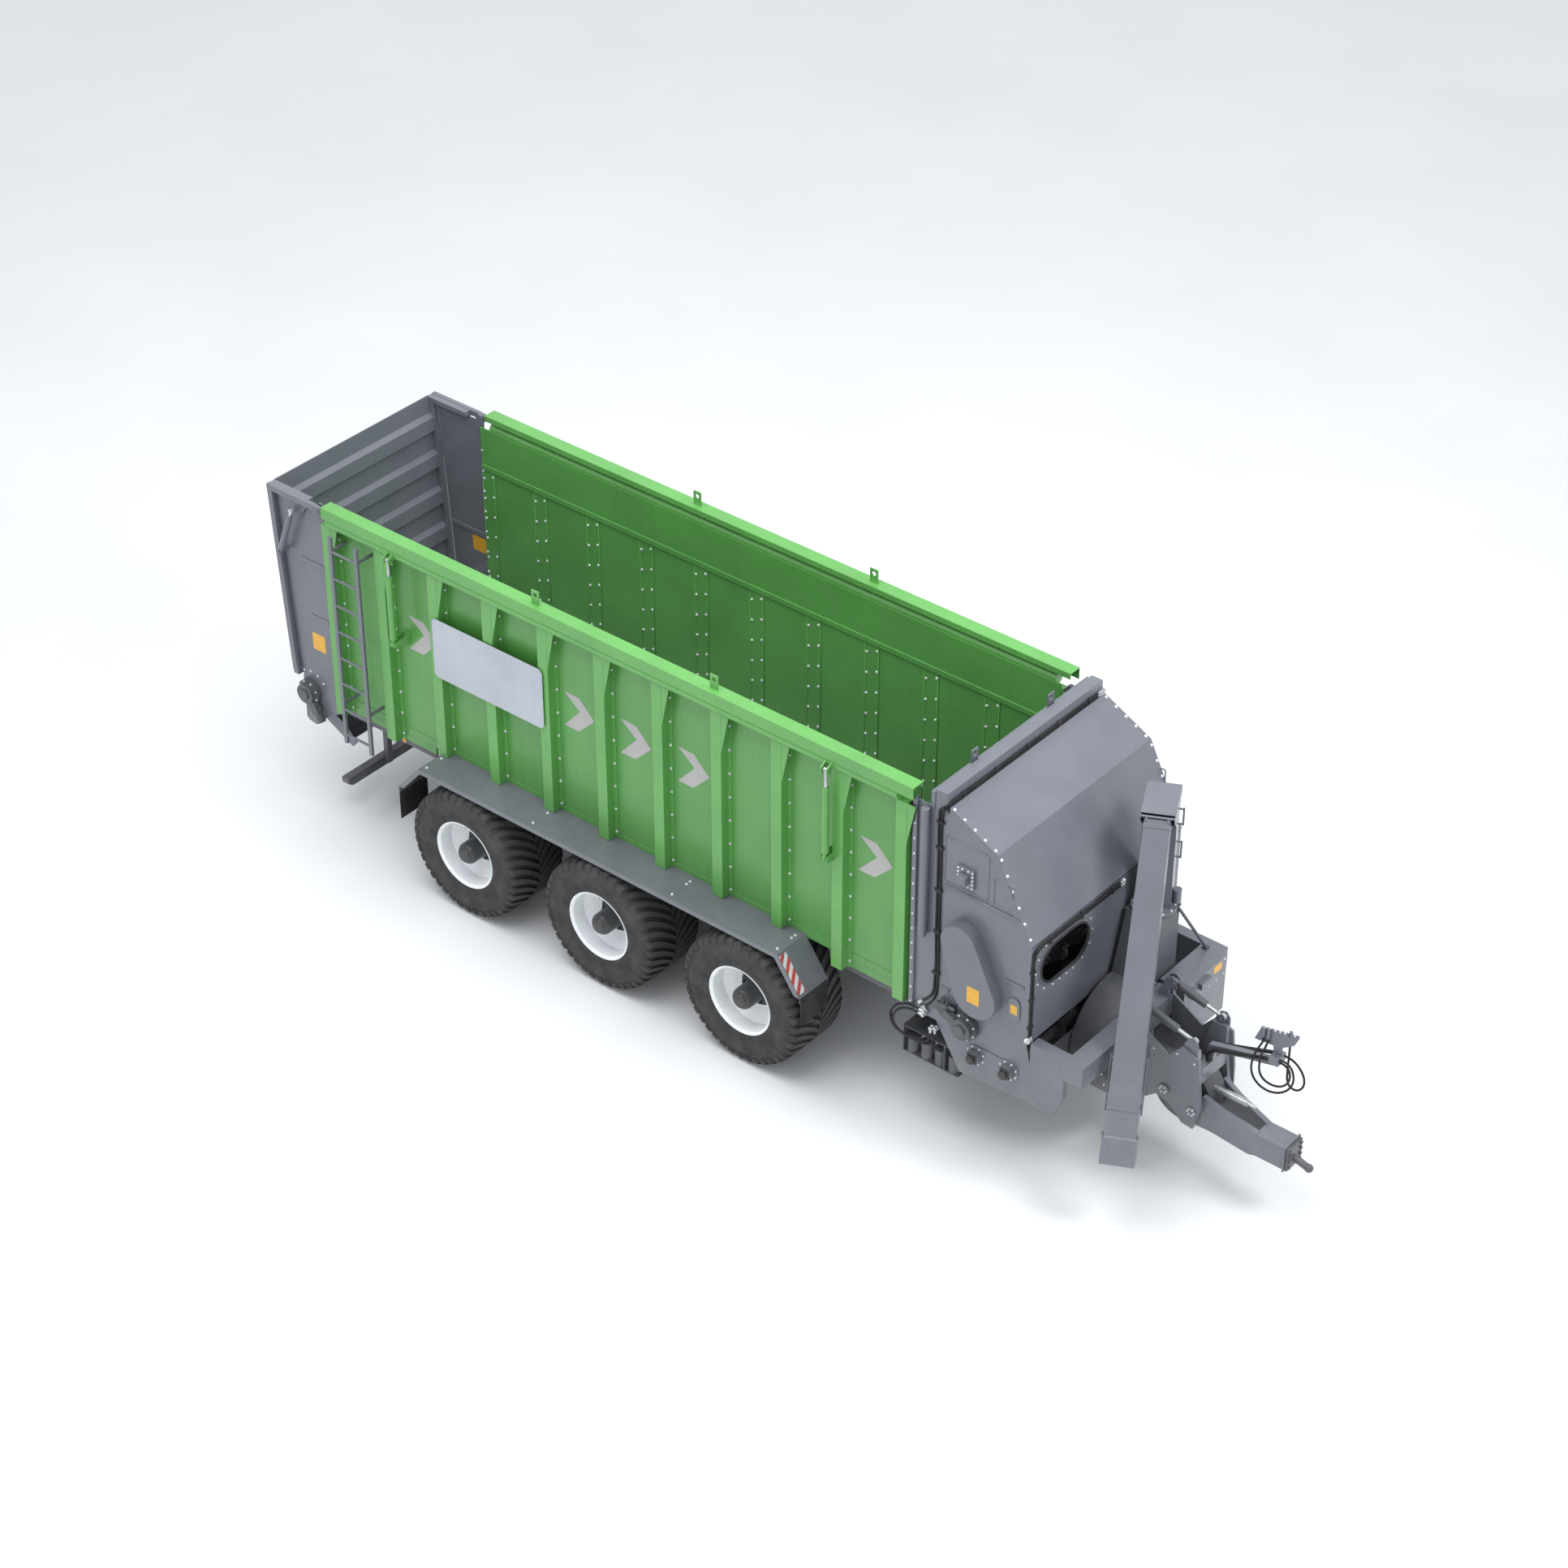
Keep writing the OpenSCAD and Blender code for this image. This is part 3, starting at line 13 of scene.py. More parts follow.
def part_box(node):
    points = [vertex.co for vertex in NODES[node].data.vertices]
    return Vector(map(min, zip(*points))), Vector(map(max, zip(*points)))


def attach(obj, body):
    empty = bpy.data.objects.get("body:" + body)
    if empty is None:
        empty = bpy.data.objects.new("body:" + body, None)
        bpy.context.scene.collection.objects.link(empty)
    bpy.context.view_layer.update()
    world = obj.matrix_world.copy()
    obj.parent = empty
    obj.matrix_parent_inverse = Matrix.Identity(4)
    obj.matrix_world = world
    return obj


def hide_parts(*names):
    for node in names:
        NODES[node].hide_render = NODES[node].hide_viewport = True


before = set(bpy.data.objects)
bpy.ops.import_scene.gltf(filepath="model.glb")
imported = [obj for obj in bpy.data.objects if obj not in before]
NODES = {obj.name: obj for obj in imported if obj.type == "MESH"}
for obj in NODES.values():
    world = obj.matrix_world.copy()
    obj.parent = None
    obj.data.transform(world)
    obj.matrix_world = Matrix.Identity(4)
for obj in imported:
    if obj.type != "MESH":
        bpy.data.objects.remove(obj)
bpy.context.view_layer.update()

UP = Vector((0, 0, 1))
SIDES = (-1, 1)            # the wagon's right and left
NAMED_SIDES = ((-1, "right"), (1, "left"))

# ---------------------------------------------------------------- places shared by many pieces

WALL_Y = 1.050             # outer face of the load box
POST_PITCH = 0.693
POST_W = 0.120
POST_COUNT = 11
FIRST_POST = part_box("side_posts_right")[0].x + POST_W
FLANGE_W = 0.040           # bolted flange in front of each post
POST_FOOT = 1.320          # lower end of a post's flange
ARCH_POSTS = range(2, 9)   # posts over the wheels, whose flanges end higher
ARCH_FOOT = 1.443
BOLT_PITCH = 0.25          # between the bolts on posts and rear plates
MILL_Y = 1.100             # outer face of the milling unit's side plates
MILL_FACE = MILL_Y + 0.026     # outer face of its rear flange and of its bolted plate
REAR_Y = 1.100             # outer face of the rear side plates
PANEL_X = 3.407            # front face of the milling unit's front panel
WINDOW_Z = 2.235
WINDOW_Y = (-0.765, -0.475)
WINDOW_R = 0.205
AUGERS = ((2.868, 1.103), (3.221, 1.118))
FLOOR_DRIVES = ((2.760, 1.390), (-5.350, 1.390))
HOOD = ((2.510, 3.610), (3.020, 3.352), (PANEL_X, 2.560))
WHEELS = [f"{place}_{side}" for side in ("right", "left") for place in ("rear", "mid", "front")]


# ---------------------------------------------------------------- camera, light and floor

def add_object(name, data):
    obj = bpy.data.objects.new(name, data)
    bpy.context.scene.collection.objects.link(obj)
    return obj


CAMERA_PLACE = (17.157, -20.942, 21.552)
CAMERA_TILT = 54.29        # degrees up from looking straight down
CAMERA_HEADING = 39.69     # degrees about Z
LENS = 83.46


def make_camera():
    data = bpy.data.cameras.new("camera")
    data.lens = LENS
    data.sensor_width = 36
    camera = add_object("camera", data)
    camera.location = CAMERA_PLACE
    camera.rotation_euler = (math.radians(CAMERA_TILT), 0, math.radians(CAMERA_HEADING))
    bpy.context.scene.camera = camera


def area_light(name, place, target, size, power):
    data = bpy.data.lights.new(name, "AREA")
    data.shape = "DISK"
    data.size = size
    data.energy = power
    light = add_object(name, data)
    light.location = place
    light.rotation_euler = (Vector(place) - Vector(target)).to_track_quat("Z", "Y").to_euler()


def make_studio():
    """Soft light from a bright room, with large lamps above, and a plain pale floor."""
    area_light("top_lamp", (-2, -3, 16), (0, 0, 1.5), size=14, power=1900)
    area_light("front_lamp", (12, 2, 14), (-5, 0, 2.5), size=5, power=1100)
    world = bpy.data.worlds.new("studio")
    world.use_nodes = True
    background = world.node_tree.nodes["Background"].inputs
    background["Color"].default_value = (0.93, 0.96, 1, 1)
    background["Strength"].default_value = 0.92
    bpy.context.scene.world = world
    bpy.context.scene.view_settings.view_transform = "Standard"
    mesh = bpy.data.meshes.new("floor")
    half = 300
    mesh.from_pydata([(-half, -half, 0), (half, -half, 0), (half, half, 0), (-half, half, 0)],
                     [], [(0, 1, 2, 3)])
    floor = add_object("floor", mesh)
    floor.data.materials.append(floor_material())


# ---------------------------------------------------------------- material building

class Shading:
    """A material's node tree with one Principled shader, and short ways to add nodes."""

    def __init__(self, name):
        self.material = bpy.data.materials.new(name)
        self.material.use_nodes = True
        self.tree = self.material.node_tree
        self.tree.nodes.clear()
        self.shader = self.add("ShaderNodeBsdfPrincipled")
        self.add("ShaderNodeOutputMaterial", {"Surface": self.shader.outputs[0]})
        self.coords = self.add("ShaderNodeTexCoord").outputs["Object"]

    def add(self, kind, inputs=None, **properties):
        node = self.tree.nodes.new(kind)
        for name, value in properties.items():
            setattr(node, name, value)
        for name, value in (inputs or {}).items():
            self.put(node.inputs[name], value)
        return node

    def put(self, socket, value):
        if isinstance(value, bpy.types.NodeSocket):
            self.tree.links.new(value, socket)
        else:
            socket.default_value = value

    def set(self, **values):
        """Values or links of the shader's own sockets, such as Coat_Weight=0.2."""
        for name, value in values.items():
            self.put(self.shader.inputs[name.replace("_", " ")], value)

    def noise(self, scale, detail=4, vector=None):
        return self.add("ShaderNodeTexNoise", {"Vector": vector or self.coords, "Scale": scale,
                                               "Detail": detail}).outputs[0]

    def ranged(self, value, low, high, to_low=0.0, to_high=1.0):
        return self.add("ShaderNodeMapRange", {"Value": value, "From Min": low, "From Max": high,
                                               "To Min": to_low, "To Max": to_high}).outputs[0]

    def math(self, operation, *values):
        node = self.add("ShaderNodeMath", operation=operation)
        for socket, value in zip(node.inputs, values):
            self.put(socket, value)
        return node.outputs[0]

    def mixed(self, factor, a, b):
        node = self.add("ShaderNodeMix", data_type="RGBA")
        for index, value in ((0, factor), (6, a), (7, b)):
            self.put(node.inputs[index], value)
        return node.outputs[2]

    def split(self, vector=None):
        return self.add("ShaderNodeSeparateXYZ", {"Vector": vector or self.coords}).outputs

    def bump(self, height, distance, strength=1.0, normal=None):
        inputs = {"Height": height, "Distance": distance, "Strength": strength}
        if normal is not None:
            inputs["Normal"] = normal
        return self.add("ShaderNodeBump", inputs).outputs[0]

    def rounded(self, radius):
        """Normal with softened edges, and a mask that is 1 along those edges."""
        bevel = self.add("ShaderNodeBevel", {"Radius": radius}, samples=4).outputs[0]
        flat = self.add("ShaderNodeNewGeometry").outputs["Normal"]
        same = self.add("ShaderNodeVectorMath", {0: bevel, 1: flat}, operation="DOT_PRODUCT")
        return bevel, self.ranged(same.outputs["Value"], 0.99, 0.82)


def shade(colour, factor):
    return tuple(min(c * factor, 1) for c in colour[:3]) + (1,)


def paint(name, colour, rough=0.36, coat=0.25, dust=0.22, ripple=0.006, edge_wear_and_highlight=1.3):
    """Sheet-metal paint: uneven tone, orange peel, worn edges with a painted highlight, and dust
    low on the wagon.
    """
    s = Shading(name)
    clouds = s.ranged(s.noise(1.6, 5), 0.3, 0.7)
    tone = s.mixed(clouds, shade(colour, 0.9), shade(colour, 1.07))
    streaks = s.add("ShaderNodeMapping", {"Vector": s.coords, "Scale": (9, 9, 0.7)}).outputs[0]
    runs = s.ranged(s.noise(2.2, 6, streaks), 0.52, 0.78, 0, 0.3)
    tone = s.mixed(runs, tone, shade(colour, 0.78))
    height = s.ranged(s.split()[2], 2.1, 0.35, 0, dust)
    patchy = s.ranged(s.noise(7, 8), 0.36, 0.66)
    tone = s.mixed(s.math("MULTIPLY", height, patchy), tone, (0.33, 0.30, 0.26, 1))
    # Lighter colour on chipped edges: partly wear, partly a painted highlight along the edges.
    bevel, edge = s.rounded(0.006)
    chips = s.ranged(s.noise(38, 6), 0.42, 0.6)
    tone = s.mixed(s.math("MULTIPLY", edge, chips), tone, shade(colour, edge_wear_and_highlight))
    speckle = s.noise(46, 5)
    peel = s.bump(s.noise(420, 2), 0.0006, 0.25, bevel)
    s.set(Base_Color=tone, Roughness=s.ranged(speckle, 0.3, 0.7, rough - 0.07, rough + 0.09),
          Normal=s.bump(s.noise(1.9, 2), ripple, 0.5, peel),
          Coat_Weight=coat, Coat_Roughness=0.16)
    return s.material


def metal(name, colour, rough, scratch=0.1, metallic=0.85):
    """Bare or plated steel with fine brushing, a few dull patches, and a painted highlight on
    its edges.
    """
    s = Shading(name)
    stretched = s.add("ShaderNodeMapping", {"Vector": s.coords, "Scale": (40, 40, 4)}).outputs[0]
    brushed = s.noise(18, 6, stretched)
    dull = s.ranged(s.noise(14, 6), 0.38, 0.66)
    bevel, edge = s.rounded(0.003)
    tone = s.mixed(dull, shade(colour, 0.72), colour)
    # Painted highlight: every edge is lightened to 1.3 times the steel's colour.
    tone = s.mixed(edge, tone, shade(colour, 1.3))
    s.set(Base_Color=tone, Metallic=metallic,
          Roughness=s.ranged(brushed, 0.3, 0.7, rough - scratch, rough + scratch),
          Normal=s.bump(brushed, 0.0004, 0.35, bevel))
    return s.material


def rubber(name, colour, rough=0.72, dusty=0.2, grain=260):
    """Rubber with a fine grain and pale dust in patches."""
    s = Shading(name)
    patchy = s.ranged(s.noise(5.5, 8), 0.4, 0.7, 0, dusty)
    tone = s.mixed(patchy, colour, (0.20, 0.185, 0.165, 1))
    fine = s.noise(grain, 3)
    s.set(Base_Color=s.mixed(s.ranged(fine, 0.3, 0.7, 0, 0.35), tone, shade(colour, 0.6)),
          Roughness=s.ranged(s.noise(9, 5), 0.3, 0.7, rough - 0.1, rough + 0.12),
          Normal=s.bump(fine, 0.0008, 0.4), Specular_IOR_Level=0.35)
    return s.material


def tyre_rubber(name):
    """Tyre rubber, with a ring of fine radial ribs outside the rim and worn bar tops."""
    s = Shading(name)
    x, _, z = s.split()
    radius = s.math("SQRT", s.math("ADD", s.math("MULTIPLY", x, x), s.math("MULTIPLY", z, z)))
    angle = s.math("ARCTAN2", z, x)
    ribs = s.math("SINE", s.math("MULTIPLY", angle, 150.0))
    inside = s.ranged(radius, 0.398, 0.404)
    outside = s.ranged(radius, 0.436, 0.430)
    ring = s.math("MULTIPLY", inside, outside)
    outer = s.math("MULTIPLY", s.ranged(radius, 0.575, 0.580), s.ranged(radius, 0.600, 0.595))
    height = s.math("MULTIPLY", ribs, s.math("ADD", ring, outer))
    worn = s.ranged(radius, 0.672, 0.688)
    grime = s.ranged(s.noise(7, 8), 0.38, 0.68, 0, 0.45)
    tone = s.mixed(grime, (0.030, 0.030, 0.032, 1), (0.085, 0.080, 0.072, 1))
    tone = s.mixed(s.math("MULTIPLY", worn, 0.55), tone, (0.090, 0.090, 0.092, 1))
    fine = s.noise(190, 3)
    grain = s.bump(fine, 0.0009, 0.5)
    s.set(Base_Color=tone, Roughness=s.ranged(s.noise(12, 5), 0.3, 0.7, 0.58, 0.82),
          Normal=s.bump(height, 0.0022, 1.0, grain), Specular_IOR_Level=0.4)
    return s.material


def label_material(name):
    """Blank amber sticker with a plain grid of darker cells, and nothing to read on it."""
    s = Shading(name)
    x, y, _ = s.split()
    columns = s.math("LESS_THAN", s.math("FRACT", s.math("MULTIPLY", x, 46.0)), 0.16)
    rows = s.math("LESS_THAN", s.math("FRACT", s.math("MULTIPLY", y, 30.0)), 0.14)
    grid = s.math("MAXIMUM", columns, rows)
    faded = s.ranged(s.noise(30, 5), 0.35, 0.65)
    amber = s.mixed(faded, (0.80, 0.40, 0.015, 1), (0.90, 0.50, 0.03, 1))
    s.set(Base_Color=s.mixed(grid, amber, (0.50, 0.23, 0.012, 1)),
          Roughness=s.ranged(s.noise(80, 3), 0.3, 0.7, 0.3, 0.45), Coat_Weight=0.3)
    return s.material


def stripe_material(name):
    """Slanted red and white reflective film with a fine cell pattern."""
    s = Shading(name)
    x, y, _ = s.split()
    slant = s.math("FRACT", s.math("MULTIPLY", s.math("ADD", x, y), 9.0))
    red = s.math("LESS_THAN", slant, 0.5)
    cells = s.add("ShaderNodeTexVoronoi", {"Vector": s.coords, "Scale": 260.0}).outputs[0]
    tone = s.mixed(red, (0.72, 0.72, 0.73, 1), (0.55, 0.025, 0.03, 1))
    s.set(Base_Color=s.mixed(s.ranged(cells, 0.2, 0.7, 0, 0.25), tone, (0.3, 0.3, 0.32, 1)),
          Roughness=s.ranged(s.noise(60, 3), 0.3, 0.7, 0.22, 0.4),
          Normal=s.bump(cells, 0.0004, 0.4))
    return s.material


def floor_material():
    s = Shading("floor")
    clouds = s.ranged(s.noise(0.35, 3), 0.3, 0.7)
    s.set(Base_Color=s.mixed(clouds, (0.76, 0.77, 0.78, 1), (0.80, 0.805, 0.81, 1)),
          Roughness=s.ranged(s.noise(3, 3), 0.3, 0.7, 0.75, 0.9))
    return s.material


MATERIALS = {
    # The two greens are one paint: the darker one on the walls is painted shade, and the lighter
    # one on posts, rails, barrels, ridges and welds is painted highlight.
    "green_panel": paint("green_panel", (0.092, 0.305, 0.066, 1)),
    "green_bright": paint("green_bright", (0.116, 0.368, 0.082, 1), rough=0.32),
    "grey_paint": paint("grey_paint", (0.146, 0.155, 0.180, 1), rough=0.33),
    "dark_steel": paint("dark_steel", (0.075, 0.080, 0.092, 1), rough=0.42, coat=0.1),
    "rim_white": paint("rim_white", (0.90, 0.93, 0.96, 1), rough=0.3, dust=0.1, edge_wear_and_highlight=0.8),
    "board_white": paint("board_white", (0.43, 0.465, 0.52, 1), rough=0.3, dust=0.05, edge_wear_and_highlight=1.1,
                         ripple=0.002),
    "bright_steel": metal("bright_steel", (0.62, 0.63, 0.65, 1), 0.34),
    "bolt_zinc": metal("bolt_zinc", (0.86, 0.88, 0.92, 1), 0.42, metallic=0.3),
    "hub_black": paint("hub_black", (0.022, 0.023, 0.026, 1), rough=0.4, coat=0.15, dust=0.1),
    "tyre": tyre_rubber("tyre"),
    "rubber": rubber("rubber", (0.020, 0.021, 0.023, 1)),
    "hose": rubber("hose", (0.012, 0.012, 0.014, 1), rough=0.5, dusty=0.08, grain=600),
    "chevron": paint("chevron", (0.42, 0.41, 0.40, 1), rough=0.4, dust=0.1, edge_wear_and_highlight=1.1),
    "label": label_material("label"),
    "stripes": stripe_material("stripes"),
}

# The paint or metal of the CAD nodes; tyres, lines and hoses are replaced by pieces below
FINISH = {
    # The walls take the darker copy of one green paint, a painted shade; posts, rails and
    # barrels take the lighter copy, a painted highlight.
    "green_panel": ["side_wall_right", "side_wall_left"],
    "green_bright": ["side_posts_right", "side_posts_left", "side_rail_right", "side_rail_left",
                     "lift_barrels"],
    "grey_paint": ["hopper_floor", "ladder", "fenders", "rear_frame", "tailgate", "gate_barrels",
                   "mill_housing", "hood", "header_beam", "chain_case", "front_frame",
                   "turret_duct", "chute", "chute_flap", "drawbar", "tank", "hose_arm"],
    "dark_steel": ["chassis_frame", "suspension", "trough", "roller_upper", "roller_lower",
                   "auger_rear", "auger_front", "drive_boxes", "blower_housing",
                   "blower_rotor", "coupling", "accumulators", "ram_barrels"],
    "bright_steel": ["floor_chain", "lift_rods", "gate_rods", "floor_shaft_front",
                     "floor_shaft_rear", "ram_rods", "pto_shaft"],
    "rim_white": [f"rim_{wheel}" for wheel in WHEELS],
    "board_white": ["number_boards"],
    "rubber": ["mud_flaps"],
}


def finish_nodes():
    for material, nodes in FINISH.items():
        for node in nodes:
            mesh = NODES[node].data
            mesh.materials.clear()
            mesh.materials.append(MATERIALS[material])


# ---------------------------------------------------------------- building pieces

def smooth_by_angle(mesh, degrees=35):
    mesh.shade_smooth()
    mesh.set_sharp_from_angle(angle=math.radians(degrees))


def piece_from(name, body, material, mesh):
    mesh.materials.append(MATERIALS[material])
    obj = add_object(name, mesh)
    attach(obj, body)
    return obj


def mesh_of(name, vertices, faces, degrees=35):
    mesh = bpy.data.meshes.new(name)
    mesh.from_pydata(vertices, [], faces)
    mesh.validate()
    smooth_by_angle(mesh, degrees)
    return mesh


class Shape:
    """Vertices and faces gathered from several parts, to make one mesh."""

    def __init__(self):
        self.vertices = []
        self.faces = []

    def add(self, vertices, faces, matrix=None):
        start = len(self.vertices)
        self.vertices += [tuple(matrix @ Vector(v)) if matrix else tuple(v) for v in vertices]
        self.faces += [tuple(start + i for i in face) for face in faces]
        return self

    def turned(self, outline, matrix=None, steps=24):
        """A solid turned about Z; outline holds (radius, height) from bottom to top."""
        rings = []
        vertices = []
        for radius, height in outline:
            rings.append(len(vertices))
            for i in range(steps):
                a = 2 * math.pi * i / steps
                vertices.append((radius * math.cos(a), radius * math.sin(a), height))
        faces = []
        for low, high in zip(rings, rings[1:]):
            for i in range(steps):
                j = (i + 1) % steps
                faces.append((low + i, low + j, high + j, high + i))
        faces.append(tuple(range(steps))[::-1])
        faces.append(tuple(range(rings[-1], rings[-1] + steps)))
        return self.add(vertices, faces, matrix)

    def box(self, low, high, chamfer=0.003, matrix=None):
        """A block whose eight corners are cut, so that its edges catch the light."""
        c = chamfer
        vertices = []
        index = {}
        for sx in (0, 1):
            for sy in (0, 1):
                for sz in (0, 1):
                    corner = [(low, high)[s][axis] for axis, s in enumerate((sx, sy, sz))]
                    inward = [1 - 2 * sx, 1 - 2 * sy, 1 - 2 * sz]
                    for axis in range(3):
                        index[sx, sy, sz, axis] = len(vertices)
                        vertices.append([v + (0 if i == axis else c * inward[i])
                                         for i, v in enumerate(corner)])
        faces = []
        for axis in range(3):
            u, v = (axis + 1) % 3, (axis + 2) % 3
            for s in (0, 1):
                face = []
                for a, b in ((0, 0), (1, 0), (1, 1), (0, 1)):
                    corner = [0, 0, 0]
                    corner[axis], corner[u], corner[v] = s, a, b
                    face.append(index[(*corner, axis)])
                faces.append(tuple(face if s else face[::-1]))
            for a in (0, 1):
                for b in (0, 1):
                    ends = []
                    for s in (0, 1):
                        corner = [0, 0, 0]
                        corner[axis], corner[u], corner[v] = s, a, b
                        ends.append((index[(*corner, u)], index[(*corner, v)]))
                    quad = (ends[0][0], ends[0][1], ends[1][1], ends[1][0])
                    faces.append(quad if a == b else quad[::-1])
        for sx in (0, 1):
            for sy in (0, 1):
                for sz in (0, 1):
                    face = tuple(index[sx, sy, sz, axis] for axis in range(3))
                    faces.append(face if (sx + sy + sz) % 2 else face[::-1])
        return self.add(vertices, faces, matrix)

    def mesh(self, name, degrees=35):
        return mesh_of(name, self.vertices, self.faces, degrees)


def facing(point, normal, size=1.0):
    """Matrix that puts a shape made along +Z at a point, standing along the normal."""
    turn = UP.rotation_difference(Vector(normal)).to_matrix().to_4x4()
    return Matrix.Translation(point) @ turn @ Matrix.Scale(size, 4)


def bolts(name, body, places, size=0.014):
    """One piece of flanged bolt heads, from (point, normal) pairs."""
    shape = Shape()
    for point, normal in places:
        at = facing(point, normal, size)
        shape.turned([(1.0, -0.1), (1.0, 0.12), (0.9, 0.2)], at, steps=14)
        shape.turned([(0.78, 0.15), (0.78, 0.62), (0.64, 0.78), (0.3, 0.84)], at, steps=6)
    return piece_from(name, body, "bolt_zinc", shape.mesh(name))


def tube(name, body, points, radius, material="hose", closed=False):
    """A smooth round tube through the points, as a curve with one spline."""
    data = bpy.data.curves.new(name, "CURVE")
    data.dimensions = "3D"
    data.bevel_depth = radius
    data.bevel_resolution = 3
    data.resolution_u = 8
    data.use_fill_caps = True
    spline = data.splines.new("BEZIER")
    spline.bezier_points.add(len(points) - 1)
    spline.use_cyclic_u = closed
    for knot, point in zip(spline.bezier_points, points):
        knot.co = point
        knot.handle_left_type = "AUTO"
        knot.handle_right_type = "AUTO"
    data.materials.append(MATERIALS[material])
    obj = add_object(name, data)
    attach(obj, body)
    return obj


# ---------------------------------------------------------------- cords: hoses on the drawbar

# The same routes as in the CAD source, here in metres
RACK_ROUTES = {
    "rack_hose_a": (1.18, [
        (5.270, -0.028, 1.640), (5.330, -0.028, 1.640), (5.385, -0.032, 1.615),
        (5.420, -0.040, 1.560), (5.430, -0.050, 1.490), (5.405, -0.060, 1.415),
        (5.345, -0.070, 1.350), (5.265, -0.078, 1.312), (5.180, -0.084, 1.308),
        (5.105, -0.088, 1.340), (5.055, -0.090, 1.400), (5.035, -0.090, 1.475),
        (5.038, -0.090, 1.550), (5.050, -0.082, 1.620), (5.068, -0.055, 1.690),
        (5.085, -0.022, 1.750), (5.085, -0.022, 1.800)]),
    "rack_hose_b": (0.91, [
        (5.270, -0.028, 1.612), (5.300, -0.028, 1.612), (5.335, -0.030, 1.604),
        (5.366, -0.034, 1.584), (5.386, -0.040, 1.552), (5.392, -0.047, 1.512),
        (5.384, -0.054, 1.470), (5.360, -0.062, 1.430), (5.322, -0.070, 1.402),
        (5.275, -0.077, 1.388), (5.225, -0.082, 1.388), (5.178, -0.086, 1.402),
        (5.141, -0.089, 1.432), (5.120, -0.091, 1.474), (5.112, -0.091, 1.525),
        (5.111, -0.089, 1.580), (5.114, -0.083, 1.635), (5.120, -0.068, 1.680),
        (5.128, -0.044, 1.722), (5.132, -0.027, 1.760), (5.133, -0.022, 1.785),
        (5.133, -0.022, 1.800)]),
    "rack_hose_c": (0.97, [
        (5.270, 0.055, 1.630), (5.305, 0.055, 1.630), (5.345, 0.055, 1.622),
        (5.390, 0.055, 1.600), (5.430, 0.054, 1.565), (5.462, 0.053, 1.520),
        (5.480, 0.051, 1.470), (5.480, 0.048, 1.420), (5.462, 0.045, 1.375),
        (5.430, 0.041, 1.345), (5.395, 0.038, 1.337), (5.360, 0.035, 1.350),
        (5.335, 0.033, 1.382), (5.324, 0.031, 1.425), (5.322, 0.029, 1.500),
        (5.322, 0.027, 1.580), (5.323, 0.026, 1.660), (5.325, 0.024, 1.730),
        (5.325, 0.022, 1.770), (5.325, 0.022, 1.810)]),
}
BUNDLE_ROUTE = [
    (4.576, 0.052, 1.280), (4.576, 0.052, 1.305), (4.581, 0.052, 1.342),
    (4.595, 0.052, 1.377), (4.618, 0.052, 1.407), (4.648, 0.052, 1.430),
    (4.675, 0.052, 1.442), (4.745, 0.052, 1.466), (4.815, 0.052, 1.491),
    (4.885, 0.052, 1.516), (4.955, 0.052, 1.541), (5.020, 0.052, 1.564),
    (5.075, 0.052, 1.585), (5.115, 0.052, 1.600), (5.150, 0.052, 1.610),
    (5.180, 0.052, 1.610)]


def make_cords():
    for name, (length, route) in RACK_ROUTES.items():
        hose = tube(name, "drawbar", route, 0.010)
        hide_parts("rack_hoses")
    for side, tag in NAMED_SIDES:
        route = [(x, side * y, z) for x, y, z in BUNDLE_ROUTE]
        hose = tube(f"bundle_hose_{tag}", "drawbar", route, 0.018)
        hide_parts("rack_hoses")


# ---------------------------------------------------------------- wheels

HALF_TREAD = 0.350
TREAD_R = 0.690
BAR_COUNT = 40
# Half of the tyre's outline, from the bead out to the crown: (radius, distance from the middle)
CASING = [(0.352, 0.316), (0.364, 0.318), (0.374, 0.330), (0.392, 0.339), (0.397, 0.343),
          (0.400, 0.343), (0.437, 0.345), (0.441, 0.348), (0.448, 0.348), (0.452, 0.345),
          (0.500, 0.3475), (0.560, 0.3485), (0.574, 0.3470), (0.602, 0.3455), (0.628, 0.3400),
          (0.648, 0.326), (0.660, 0.300), (0.665, 0.240), (0.667, 0.120), (0.668, 0.0)]
# Tread bar, from the middle to the shoulder: (distance from the middle, foot and top radius)
BAR = [(0.004, 0.660, TREAD_R), (0.060, 0.660, TREAD_R), (0.130, 0.659, 0.6895),
       (0.200, 0.657, 0.688), (0.262, 0.655, 0.685), (0.306, 0.650, 0.678),
       (0.333, 0.640, 0.664), (0.346, 0.628, 0.646), (HALF_TREAD, 0.604, 0.616)]


def on_wheel(angle, radius, y):
    return (radius * math.cos(angle), y, radius * math.sin(angle))


def tyre_mesh():
    """Casing and curved tread bars about the wheel's own centre; bars lead at the middle."""
    shape = Shape()
    outline = CASING + [(radius, -y) for radius, y in CASING[-2::-1]]
    steps = 128
    count = len(outline)
    vertices = [on_wheel(2 * math.pi * i / steps, radius, y)
                for i in range(steps) for radius, y in outline]
    faces = []
    for i in range(steps):
        j = (i + 1) % steps
        for k in range(count):
            m = (k + 1) % count
            faces.append((i * count + k, i * count + m, j * count + m, j * count + k))
    shape.add(vertices, faces)
    pitch = 2 * math.pi / BAR_COUNT
    for side in SIDES:
        for n in range(BAR_COUNT):
            start = pitch * (n + (0.5 if side > 0 else 0))
            shape.add(*tread_bar(start, side))
    return shape.mesh("tyre")


